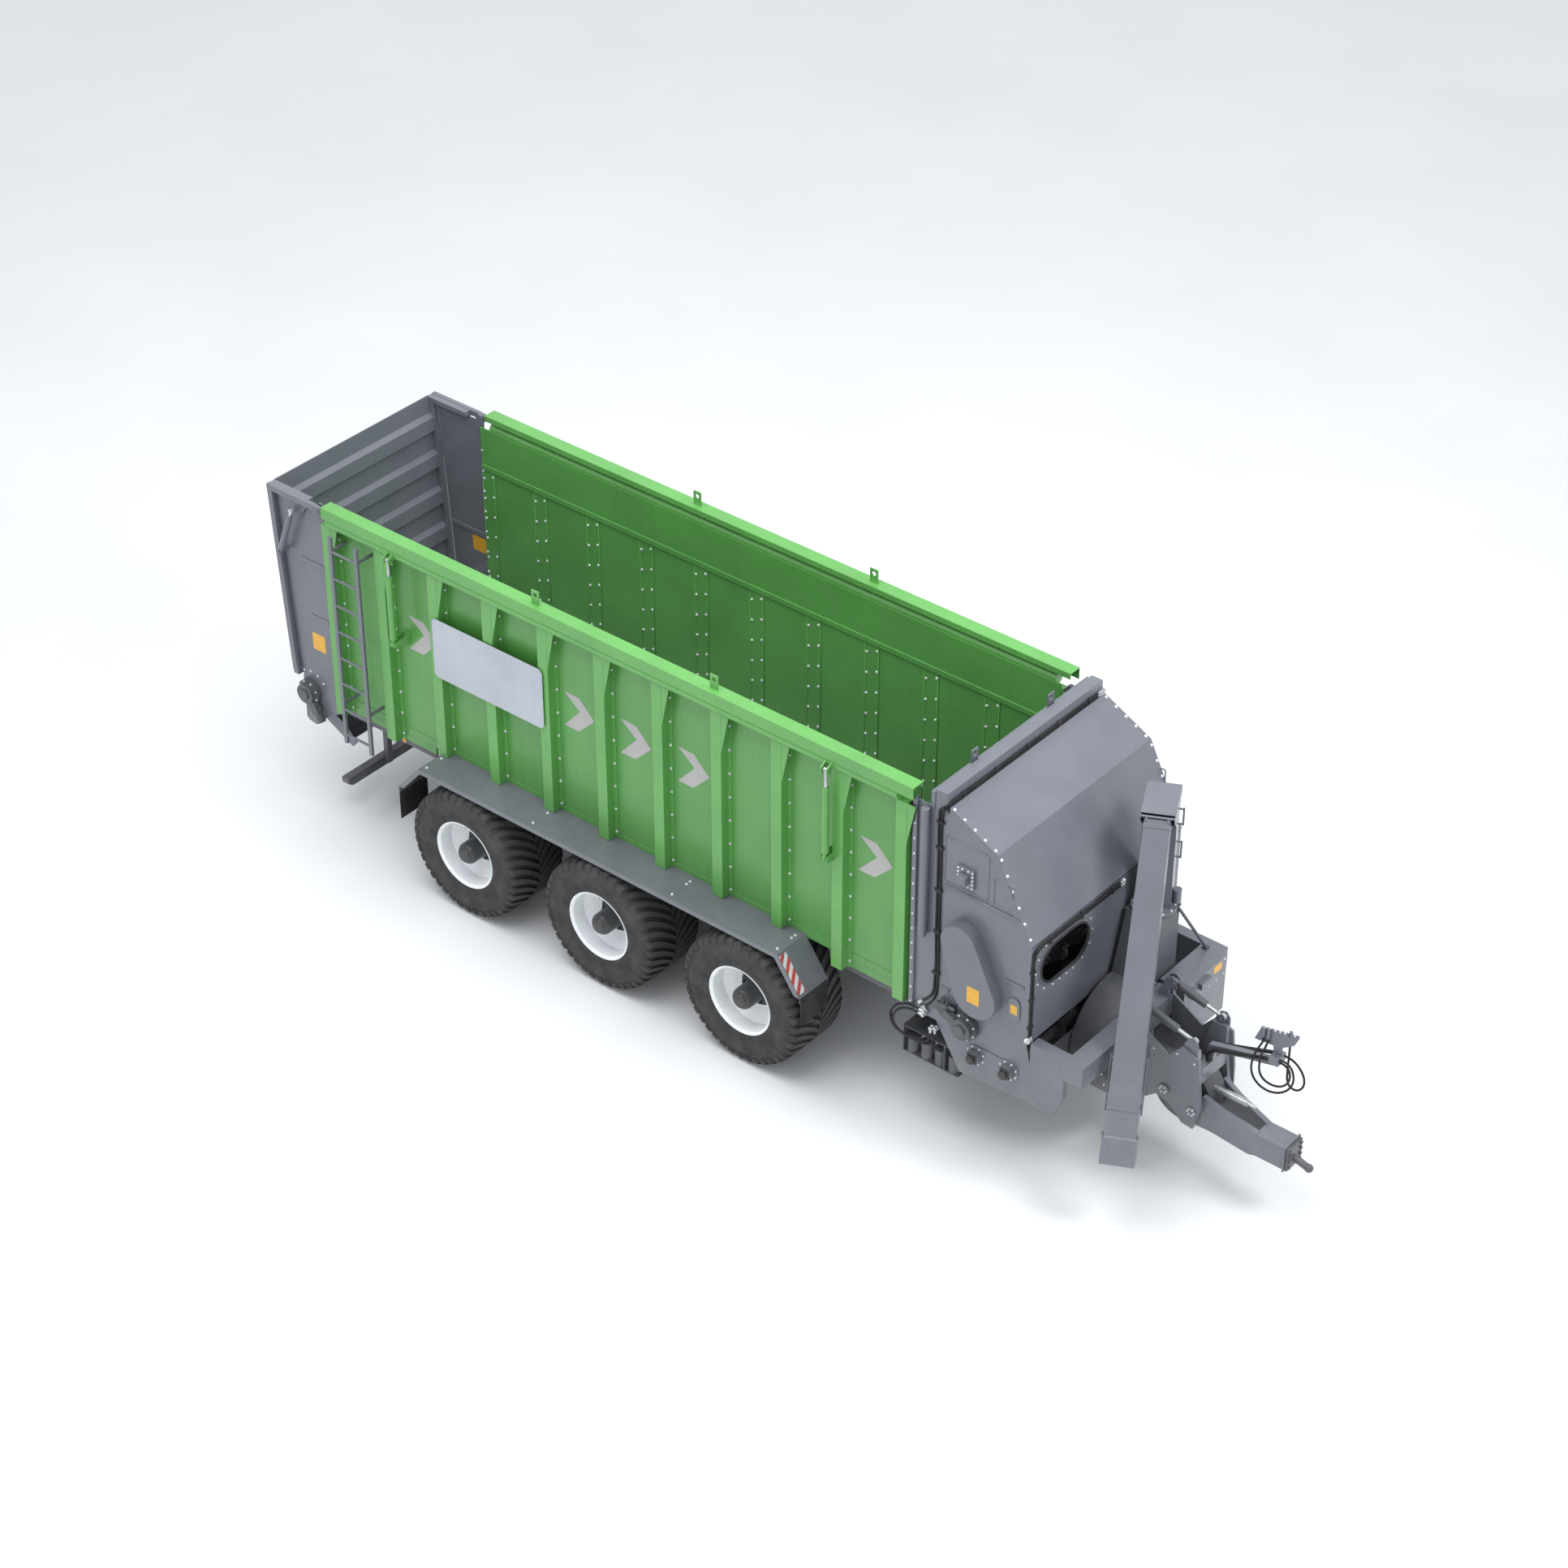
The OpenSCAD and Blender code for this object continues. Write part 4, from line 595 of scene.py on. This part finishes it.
def tread_bar(start, side):
    vertices = []
    for y, foot, top in BAR:
        t = y / HALF_TREAD
        angle = start + 0.31 * (1 - (1 - t) ** 1.7)
        half_foot = 0.047 + 0.012 * t
        half_top = 0.034 + 0.010 * t
        vertices += [on_wheel(angle - half_foot, foot, side * y),
                     on_wheel(angle - half_top, top, side * y),
                     on_wheel(angle + half_top, top, side * y),
                     on_wheel(angle + half_foot, foot, side * y)]
    faces = [(0, 1, 2, 3)]
    last = 4 * (len(BAR) - 1)
    faces.append((last + 3, last + 2, last + 1, last))
    for i in range(0, last, 4):
        for k in range(3):
            faces.append((i + k, i + 4 + k, i + 5 + k, i + 1 + k))
    if side < 0:
        faces = [face[::-1] for face in faces]
    return vertices, faces


def hub_mesh():
    """Black hub cover with its flange and nuts; +Z points away from the wagon."""
    shape = Shape()
    shape.turned([(0.188, 0.062), (0.188, 0.072), (0.182, 0.076), (0.116, 0.080),
                  (0.111, 0.090), (0.109, 0.285), (0.104, 0.300), (0.092, 0.320),
                  (0.084, 0.324), (0.078, 0.324), (0.076, 0.334), (0.070, 0.340),
                  (0.045, 0.341)], steps=48)
    for n in range(10):
        a = 2 * math.pi * n / 10
        at = Matrix.Translation((0.152 * math.cos(a), 0.152 * math.sin(a), 0.076))
        shape.turned([(0.021, 0), (0.021, 0.004), (0.019, 0.006)], at, steps=16)
        shape.turned([(0.016, 0.004), (0.016, 0.018), (0.013, 0.021)], at, steps=6)
        shape.turned([(0.008, 0.018), (0.008, 0.034), (0.006, 0.036)], at, steps=10)
    for n in range(6):
        a = 2 * math.pi * (n + 0.5) / 6
        at = Matrix.Translation((0.062 * math.cos(a), 0.062 * math.sin(a), 0.339))
        shape.turned([(0.006, 0), (0.006, 0.004), (0.004, 0.006)], at, steps=6)
    return shape.mesh("hub")


def make_wheels():
    tyre = tyre_mesh()
    tyre.materials.append(MATERIALS["tyre"])
    hub = hub_mesh()
    hub.materials.append(MATERIALS["hub_black"])
    for wheel in WHEELS:
        low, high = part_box(f"tyre_{wheel}")
        centre = (low + high) / 2
        body = f"wheel_{wheel}"
        side = 1 if centre.y > 0 else -1
        casing = add_object(f"tread_{wheel}", tyre)
        casing.location = centre
        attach(casing, body)
        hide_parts(f"tyre_{wheel}")
        cover = add_object(f"hub_{wheel}", hub)
        cover.location = centre
        cover.rotation_euler = (-side * math.pi / 2, 0, 0)
        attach(cover, body)
        valve = tube(f"valve_{wheel}", body,
                     [centre + side * Vector((0, y, 0)) + Vector((0, 0, z))
                      for y, z in ((0.250, 0.334), (0.270, 0.322), (0.300, 0.310))],
                     0.006, "rubber")
        valve.data.bevel_resolution = 2


# ---------------------------------------------------------------- bolts

def spaced(start, stop, pitch):
    """Places from start to stop, with gaps as near to the pitch as whole steps allow."""
    count = round((stop - start) / pitch)
    return [start + (stop - start) * i / count for i in range(count + 1)]


def ring(count, radius, shift=0.5):
    """Offsets of places spread round a circle, from shift steps past the first axis."""
    angles = [2 * math.pi * (n + shift) / count for n in range(count)]
    return [(radius * math.cos(a), radius * math.sin(a)) for a in angles]


def post_front(k):
    """Front face of the post numbered k, counted from the rear."""
    return FIRST_POST + k * POST_PITCH


def post_bolts():
    """Bolts down the flange in front of every post, and the rows inside the box."""
    edge = 0.020           # from the edge of a strip to its bolts
    for side, tag in NAMED_SIDES:
        outside = []
        inside = []
        outer_y = side * (WALL_Y + 0.008)
        inner_y = side * (WALL_Y - 0.010)
        for k in range(POST_COUNT):
            front = post_front(k)
            foot = ARCH_FOOT if k in ARCH_POSTS else POST_FOOT
            for z in spaced(foot + 0.07, 3.32, BOLT_PITCH):
                outside.append(((front + FLANGE_W / 2, outer_y, z), (0, side, 0)))
            for x, shift in ((front - POST_W + edge, 0), (front + FLANGE_W - edge, 0.05)):
                for z in spaced(1.60 + shift, 2.98 + shift, BOLT_PITCH):
                    inside.append(((x, inner_y, z), (0, -side, 0)))
        for z in spaced(1.65, 3.30, BOLT_PITCH):
            inside.append(((post_front(0) - POST_W + 0.012, inner_y, z), (0, -side, 0)))
        bolts(f"post_bolts_{tag}", "wagon", outside)
        bolts(f"inner_bolts_{tag}", "wagon", inside)


def hood_bolts():
    """Bolts along both edges of the hood's two sloping sheets."""
    places = []
    for (x0, z0), (x1, z1), count in ((HOOD[0], HOOD[1], 4), (HOOD[1], HOOD[2], 5)):
        normal = Vector((z0 - z1, 0, x1 - x0)).normalized()
        for i in range(count + 1):
            t = 0.06 + 0.86 * i / count
            for side in SIDES:
                places.append(((x0 + t * (x1 - x0), side * 1.088, z0 + t * (z1 - z0)), normal))
    bolts("hood_bolts", "wagon", places, 0.015)


def mill_bolts():
    """Bolts of the rear flange, the bolted plate, the augers' covers and the floor drives."""
    places = []
    flange_x = 2.153
    for side in SIDES:
        for z in spaced(1.36, 3.46, 0.165):
            places.append(((flange_x, side * MILL_FACE, z), (0, side, 0)))
    plate = [(x, z) for x in (2.625, 2.670, 2.730, 2.775) for z in (2.895, 3.055)]
    plate += [(x, z) for z in (2.935, 2.975, 3.015) for x in (2.625, 2.775)]
    places += [((x, -MILL_FACE, z), (0, -1, 0)) for x, z in plate]
    for centres, radius, depth in ((AUGERS, 0.090, 0.008), (FLOOR_DRIVES, 0.120, 0.060)):
        for x, z in centres:
            for dx, dz in ring(8, radius):
                places.append(((x + dx, -MILL_Y - depth, z + dz), (0, -1, 0)))
    bolts("mill_bolts", "wagon", places, 0.011)


def window_bolts():
    """Bolts round the window's frame: a straight row below, and an arc at each end."""
    places = []
    reach = WINDOW_R + 0.062
    for y in spaced(WINDOW_Y[0], WINDOW_Y[1], 0.1):
        places.append((y, WINDOW_Z - reach))
    for n in range(1, 6):
        a = math.radians(-90 + n * 30)
        places.append((WINDOW_Y[1] + reach * math.cos(a), WINDOW_Z + reach * math.sin(a)))
    for n in range(1, 6):
        a = math.radians(90 + n * 30)
        places.append((WINDOW_Y[0] + reach * math.cos(a), WINDOW_Z + reach * math.sin(a)))
    bolts("window_bolts", "wagon", [((PANEL_X, y, z), (1, 0, 0)) for y, z in places], 0.010)


def blower_bolts():
    """Bolts round the blower's front plate, and round the turret's flange."""
    plate = [((3.780, 0.027 + dy, 1.065 + dz), (1, 0, 0)) for dy, dz in ring(20, 0.525)]
    flange = [((3.618 + dx, 0.412 + dy, 2.254), (0, 0, 1)) for dx, dy in ring(12, 0.185, 0)]
    bolts("blower_bolts", "wagon", plate, 0.011)
    bolts("turret_bolts", "turret_duct", flange, 0.011)


def fender_bolts():
    """Bolts in four rows across the top of each mudguard."""
    places = []
    for side in SIDES:
        for x in (-3.500, -2.118, -0.395, 0.850):
            for y in (1.135, 1.185, 1.385):
                places.append(((x, side * y, 1.440), (0, 0, 1)))
    bolts("fender_bolts", "wagon", places)


def rear_bolts():
    """Bolts of the rear side plates: an arc round the floor's shaft, and the front edge."""
    places = []
    x, z = FLOOR_DRIVES[1]
    for side in SIDES:
        for n in range(5):
            a = math.radians(40 + 25 * n)
            point = (x + 0.22 * math.cos(a), side * REAR_Y, z + 0.22 * math.sin(a))
            places.append((point, (0, side, 0)))
        for height in spaced(1.40, 3.40, BOLT_PITCH):
            places.append(((-4.990, side * REAR_Y, height), (0, side, 0)))
    bolts("rear_bolts", "wagon", places, 0.012)


def front_bolts():
    """Bolts of the tank's face and of the caps on the drawbar's pins."""
    tank_x = 4.060
    places = [((tank_x, y, 1.365), (1, 0, 0)) for y in spaced(0.36, 0.94, 0.116)]
    places += [((tank_x, y, 1.530), (1, 0, 0)) for y in (0.36, 0.94)]
    for side in SIDES:
        for x, y, z in ((4.297, 0.292, 0.956), (4.587, 0.280, 0.847)):
            for dx, dz in ring(6, 0.034, 0):
                places.append(((x + dx, side * y, z + dz), (0, side, 0)))
        for x, z in ((4.06, 0.90), (4.06, 1.16), (4.16, 1.34), (4.40, 1.40), (4.58, 1.38)):
            places.append(((x, side * 0.272, z), (0, side, 0)))
    bolts("front_bolts", "wagon", places, 0.010)


# ---------------------------------------------------------------- decals and labels

def flat_mesh(name, outline, thickness=0.001):
    """A thin sheet of the outline, in its own XY plane, with +Z as its face."""
    count = len(outline)
    vertices = [(x, y, 0) for x, y in outline] + [(x, y, thickness) for x, y in outline]
    faces = [tuple(range(count))[::-1], tuple(range(count, 2 * count))]
    for i in range(count):
        j = (i + 1) % count
        faces.append((i, j, count + j, count + i))
    return mesh_of(name, vertices, faces)


def rounded_outline(width, height, radius, steps=4):
    points = []
    for cx, cy, first in ((1, 1, 0), (-1, 1, 90), (-1, -1, 180), (1, -1, 270)):
        for i in range(steps + 1):
            a = math.radians(first + 90 * i / steps)
            points.append((cx * (width / 2 - radius) + radius * math.cos(a),
                           cy * (height / 2 - radius) + radius * math.sin(a)))
    return points


def sticker(name, body, material, outline, place, right, up=UP):
    """A decal whose own X and Y lie along right and up, facing away from the surface."""
    right, up = Vector(right).normalized(), Vector(up).normalized()
    face = right.cross(up)
    obj = piece_from(name, body, material, flat_mesh(name, outline))
    turn = Matrix((right, up, face)).transposed().to_4x4()
    obj.matrix_world = Matrix.Translation(place) @ turn
    return obj


CHEVRON = [(-0.186, 0.191), (0.004, 0.184), (0.186, 0.004), (-0.013, -0.193), (-0.195, -0.192),
           (0.007, 0.033)]
CHEVRON_X = (-3.774, -1.786, -1.093, -0.400, 1.686)
CHEVRON_Z = 2.632


def make_chevrons():
    for n, x in enumerate(CHEVRON_X):
        sticker(f"chevron_right_{n}", "wagon", "chevron", CHEVRON,
                (x, -WALL_Y, CHEVRON_Z), (1, 0, 0))
        mirrored = [(-px, py) for px, py in CHEVRON[::-1]]
        sticker(f"chevron_left_{n}", "wagon", "chevron", mirrored,
                (x, WALL_Y, CHEVRON_Z), (-1, 0, 0))


def make_labels():
    """Blank amber stickers, where the wagon carries its notices."""
    places = [
        ("case", 0.130, 0.170, (2.895, -1.220, 1.850), (1, 0, 0)),
        ("oval", 0.070, 0.095, (3.255, -1.114, 1.820), (1, 0, 0)),
        ("rear_right", 0.170, 0.190, (-5.190, -1.100, 2.010), (1, 0, 0)),
        ("rear_left", 0.170, 0.190, (-5.190, 1.100, 2.010), (-1, 0, 0)),
        ("rear_inside", 0.190, 0.170, (-5.110, 1.090, 2.120), (1, 0, 0)),
        ("tank", 0.120, 0.080, (4.060, 0.840, 1.490), (0, 1, 0)),
        ("sill_rear", 0.045, 0.052, (-4.150, -1.044, 1.291), (1, 0, 0)),
        ("sill_front", 0.045, 0.052, (1.310, -1.044, 1.291), (1, 0, 0)),
    ]
    for tag, width, height, place, right in places:
        sticker(f"label_{tag}", "wagon", "label", rounded_outline(width, height, 0.006),
                place, right)


def make_stripes():
    """Red and white film on the outer edge of each mudguard's sloping front sheet."""
    top, foot = Vector((0.900, 0, 1.440)), Vector((1.164, 0, 1.064))
    along = (foot - top).normalized()
    face = Vector((-along.z, 0, along.x))
    for side, tag in NAMED_SIDES:
        middle = (top + foot) / 2 + Vector((0, side * 1.398, 0))
        sticker(f"stripes_{tag}", "wagon", "stripes", rounded_outline(0.400, 0.095, 0.004),
                middle, along, face.cross(along))


# ---------------------------------------------------------------- hydraulic lines and fittings

LINE_R = 0.011
# Two lines along the header and down the milling unit's right side
HEADER_LINES = [
    [(2.492, 1.06, 3.640), (2.492, 0.60, 3.640), (2.492, 0.0, 3.640), (2.492, -0.60, 3.640),
     (2.492, -1.06, 3.640), (2.486, -1.106, 3.628), (2.462, -1.124, 3.600),
     (2.420, -1.125, 3.560), (2.402, -1.113, 3.500), (2.402, -1.113, 2.900),
     (2.402, -1.113, 2.300), (2.402, -1.113, 1.700), (2.385, -1.113, 1.560),
     (2.330, -1.113, 1.470), (2.260, -1.113, 1.400)],
    [(2.492, 1.06, 3.612), (2.492, 0.60, 3.612), (2.492, 0.0, 3.612), (2.492, -0.60, 3.612),
     (2.492, -1.04, 3.612), (2.488, -1.094, 3.604), (2.470, -1.117, 3.578),
     (2.444, -1.120, 3.540), (2.430, -1.113, 3.480), (2.430, -1.113, 2.900),
     (2.430, -1.113, 2.300), (2.430, -1.113, 1.680), (2.414, -1.113, 1.540),
     (2.360, -1.113, 1.430), (2.290, -1.113, 1.350)],
]
# Two lines along the front panel's top edge and down its corner
PANEL_LINES = [
    [(3.421, 0.200, 2.486), (3.421, -0.300, 2.493), (3.421, -0.800, 2.503),
     (3.421, -1.000, 2.500), (3.421, -1.055, 2.470), (3.421, -1.076, 2.410),
     (3.421, -1.078, 2.200), (3.421, -1.078, 1.800), (3.421, -1.078, 1.560)],
    [(3.421, 0.200, 2.516), (3.421, -0.300, 2.521), (3.421, -0.800, 2.530),
     (3.421, -1.010, 2.527), (3.421, -1.075, 2.490), (3.421, -1.102, 2.410),
     (3.421, -1.105, 2.200), (3.421, -1.105, 1.800), (3.421, -1.105, 1.560)],
]
# Two bent lines below the front floor drive
DRIVE_LINES = [
    [(2.300, -1.142, 1.330), (2.200, -1.142, 1.335), (2.080, -1.142, 1.300),
     (1.990, -1.142, 1.220), (1.950, -1.142, 1.110), (1.985, -1.140, 1.010),
     (2.080, -1.135, 0.960), (2.200, -1.130, 0.945), (2.310, -1.128, 0.955),
     (2.390, -1.128, 1.000), (2.430, -1.128, 1.080), (2.435, -1.128, 1.170)],
    [(2.300, -1.154, 1.300), (2.205, -1.156, 1.303), (2.100, -1.158, 1.270),
     (2.025, -1.160, 1.200), (1.990, -1.162, 1.110), (2.020, -1.160, 1.030),
     (2.100, -1.157, 0.990), (2.200, -1.152, 0.978), (2.300, -1.150, 0.990),
     (2.365, -1.150, 1.030), (2.398, -1.150, 1.100), (2.402, -1.150, 1.175)],
]


def make_lines():
    routes = {"header_line": HEADER_LINES, "panel_line": PANEL_LINES, "drive_line": DRIVE_LINES}
    for name, pair in routes.items():
        for n, route in enumerate(pair):
            line = tube(f"{name}_{n}", "wagon", route, LINE_R)
            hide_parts("hydraulic_lines")
    fittings = Shape()
    for pair, outward in ((HEADER_LINES, (0, -1, 0)), (PANEL_LINES, (1, 0, 0)),
                          (DRIVE_LINES, (0, -1, 0))):
        for route in pair:
            ends = ((route[0], route[1]), (route[-1], route[-2]))
            for end, before in ends:
                add_fitting(fittings, Vector(end), Vector(before), Vector(outward))
    piece_from("line_fittings", "wagon", "bright_steel", fittings.mesh("line_fittings"))
    make_clips()


def add_fitting(shape, end, before, outward):
    """Ferrule and nut on a line's end, and the port that it screws into."""
    along = (end - before).normalized()
    at = facing(end - along * 0.034, along)
    shape.turned([(0.0135, 0), (0.0145, 0.004), (0.0145, 0.028), (0.0135, 0.032)], at, steps=18)
    shape.turned([(0.018, 0.030), (0.018, 0.050), (0.015, 0.053)], at, steps=6)
    port = facing(end + along * 0.016 - outward * 0.034, outward)
    shape.turned([(0.026, 0), (0.026, 0.018), (0.021, 0.022), (0.021, 0.046), (0.017, 0.050)],
                 port, steps=6)


def make_clips():
    """Saddles that hold each pair of lines to the sheet behind it."""
    shape = Shape()
    for z in (1.80, 2.25, 2.70, 3.15, 3.42):
        shape.box((2.378, -1.128, z - 0.016), (2.454, -1.098, z + 0.016), 0.004)
    for y in spaced(-0.9, 0.9, 0.45):
        shape.box((2.478, y - 0.016, 3.594), (2.507, y + 0.016, 3.658), 0.004)
    for y in (-0.85, -0.40, 0.05):
        shape.box((3.405, y - 0.016, 2.470), (3.436, y + 0.016, 2.546), 0.004)
    for z in (1.70, 2.00, 2.30):
        shape.box((3.405, -1.124, z - 0.016), (3.436, -1.060, z + 0.016), 0.004)
    piece_from("line_clips", "wagon", "rubber", shape.mesh("line_clips"))


# ---------------------------------------------------------------- milling unit trim

def make_window_seal():
    """Rubber lip round the inspection window."""
    points = []
    reach = WINDOW_R - 0.004
    for centre_y, first in ((WINDOW_Y[1], -90), (WINDOW_Y[0], 90)):
        for n in range(13):
            a = math.radians(first + n * 15)
            points.append((PANEL_X + 0.012, centre_y + reach * math.cos(a),
                           WINDOW_Z + reach * math.sin(a)))
    tube("window_seal", "wagon", points, 0.011, "rubber", closed=True)


def make_sensor_box():
    """Small case on the bolted plate, with a round gland below it."""
    shape = Shape()
    shape.box((2.655, -1.190, 2.930), (2.745, -1.126, 3.020), 0.006)
    shape.turned([(0.012, 0), (0.012, 0.012), (0.009, 0.016), (0.009, 0.05)],
                 facing((2.700, -1.160, 2.932), (0, 0, -1)), steps=16)
    piece_from("sensor_box", "wagon", "grey_paint", shape.mesh("sensor_box"))


def bead(shape, start, end, radius):
    """A round raised seam from start to end."""
    start, end = Vector(start), Vector(end)
    length = (end - start).length
    outline = [(radius * 0.5, 0), (radius, radius * 0.7), (radius, length - radius * 0.7),
               (radius * 0.5, length)]
    shape.turned(outline, facing(start, end - start), steps=10)


def make_valve_block():
    """Valve block above the front floor drive, with two coils and their caps."""
    shape = Shape()
    y = -MILL_Y
    shape.box((2.490, y - 0.012, 1.430), (2.640, y, 1.560), 0.004)
    shape.box((2.505, y - 0.080, 1.445), (2.590, y - 0.010, 1.545), 0.006)
    for z in (1.470, 1.520):
        at = facing((2.590, y - 0.045, z), (1, 0, 0))
        shape.turned([(0.020, 0), (0.020, 0.050), (0.016, 0.054), (0.016, 0.066),
                      (0.009, 0.069)], at, steps=20)
    for x in (2.525, 2.570):
        at = facing((x, y - 0.045, 1.545), (0, 0, 1))
        shape.turned([(0.015, 0), (0.015, 0.018), (0.011, 0.022), (0.011, 0.034)], at, steps=6)
    piece_from("valve_block", "wagon", "dark_steel", shape.mesh("valve_block"))


def make_shaft_caps():
    """Dark bearing caps on the covers of the two augers' shafts."""
    shape = Shape()
    cover = 0.060          # how far the covers stand out from the side plate
    y = -MILL_Y - cover
    for x, z in AUGERS:
        shape.box((x - 0.052, y - 0.012, z - 0.052), (x + 0.052, y, z + 0.052), 0.006)
        at = facing((x, y - 0.010, z), (0, -1, 0))
        shape.turned([(0.044, 0), (0.044, 0.030), (0.036, 0.038), (0.012, 0.040)], at, steps=32)
    piece_from("shaft_caps", "wagon", "hub_black", shape.mesh("shaft_caps"))


def make_mill_ribs():
    """Pressed ribs and the folded edges of the panels between them, on both side plates."""
    panels = [(2.470, 2.930, 2.830, 3.300), (2.990, 3.200, 2.830, 3.100)]
    ribs = [(2.470, 3.270, 2.780), (2.470, 2.560, 2.090), (3.150, 3.350, 2.090),
            (2.470, 2.560, 1.660)]
    for side, tag in NAMED_SIDES:
        shape = Shape()
        y = side * MILL_Y
        rib_y = side * (MILL_Y + 0.006)
        for x0, x1, z in ribs:
            bead(shape, (x0, rib_y, z), (x1, rib_y, z), 0.012)
        for x0, x1, z0, z1 in panels:
            corners = [(x0, y, z0), (x1, y, z0), (x1, y, z1), (x0, y, z1)]
            for start, end in zip(corners, corners[1:] + corners[:1]):
                bead(shape, start, end, 0.007)
        piece_from(f"mill_ribs_{tag}", "wagon", "grey_paint", shape.mesh(f"mill_ribs_{tag}"))


def make_rear_ribs():
    """Two pressed ribs across each rear side plate."""
    for side, tag in NAMED_SIDES:
        shape = Shape()
        near, far = sorted((side * (REAR_Y - 0.002), side * (REAR_Y + 0.008)))
        for x, z in ((-5.330, 2.930), (-5.270, 2.300)):
            shape.box((x, near, z - 0.025), (-5.015, far, z + 0.025), 0.005)
        piece_from(f"rear_ribs_{tag}", "wagon", "grey_paint", shape.mesh(f"rear_ribs_{tag}"))


def make_wall_ridges():
    """Folded edges of the strips inside the side walls, one strip behind each post."""
    for side, tag in NAMED_SIDES:
        shape = Shape()
        y = side * (WALL_Y - 0.011)
        low, high = 1.530, 3.085
        for k in range(POST_COUNT):
            front = post_front(k)
            for x in (front - POST_W + 0.001, front + FLANGE_W - 0.001):
                bead(shape, (x, y, low), (x, y, high), 0.006)
        # The ridges take the lighter copy of the green, as a painted highlight on the folds.
        piece_from(f"wall_ridges_{tag}", "wagon", "green_bright",
                   shape.mesh(f"wall_ridges_{tag}"))


def weld_beads():
    """Rippled weld seam down the rear edge of every post."""
    shape = Shape()
    for side in SIDES:
        for k in range(POST_COUNT):
            x = post_front(k) - POST_W
            start = Vector((x, side * (WALL_Y + 0.001), 1.60))
            end = Vector((x, side * (WALL_Y + 0.001), 3.40))
            length = (end - start).length
            count = int(length / 0.012)
            outline = [(0.0045 + 0.0012 * (i % 2), length * i / count)
                       for i in range(count + 1)]
            shape.turned(outline, facing(start, end - start), steps=6)
    # The welds take the lighter copy of the green, as a painted highlight.
    piece_from("post_welds", "wagon", "green_bright", shape.mesh("post_welds", 60))


# ---------------------------------------------------------------- the scene

make_camera()
make_cords()
make_studio()
finish_nodes()
make_wheels()
post_bolts()
hood_bolts()
mill_bolts()
window_bolts()
blower_bolts()
fender_bolts()
rear_bolts()
front_bolts()
make_chevrons()
make_labels()
make_stripes()
make_lines()
make_window_seal()
make_sensor_box()
make_valve_block()
make_shaft_caps()
make_mill_ribs()
make_rear_ribs()
make_wall_ridges()
weld_beads()
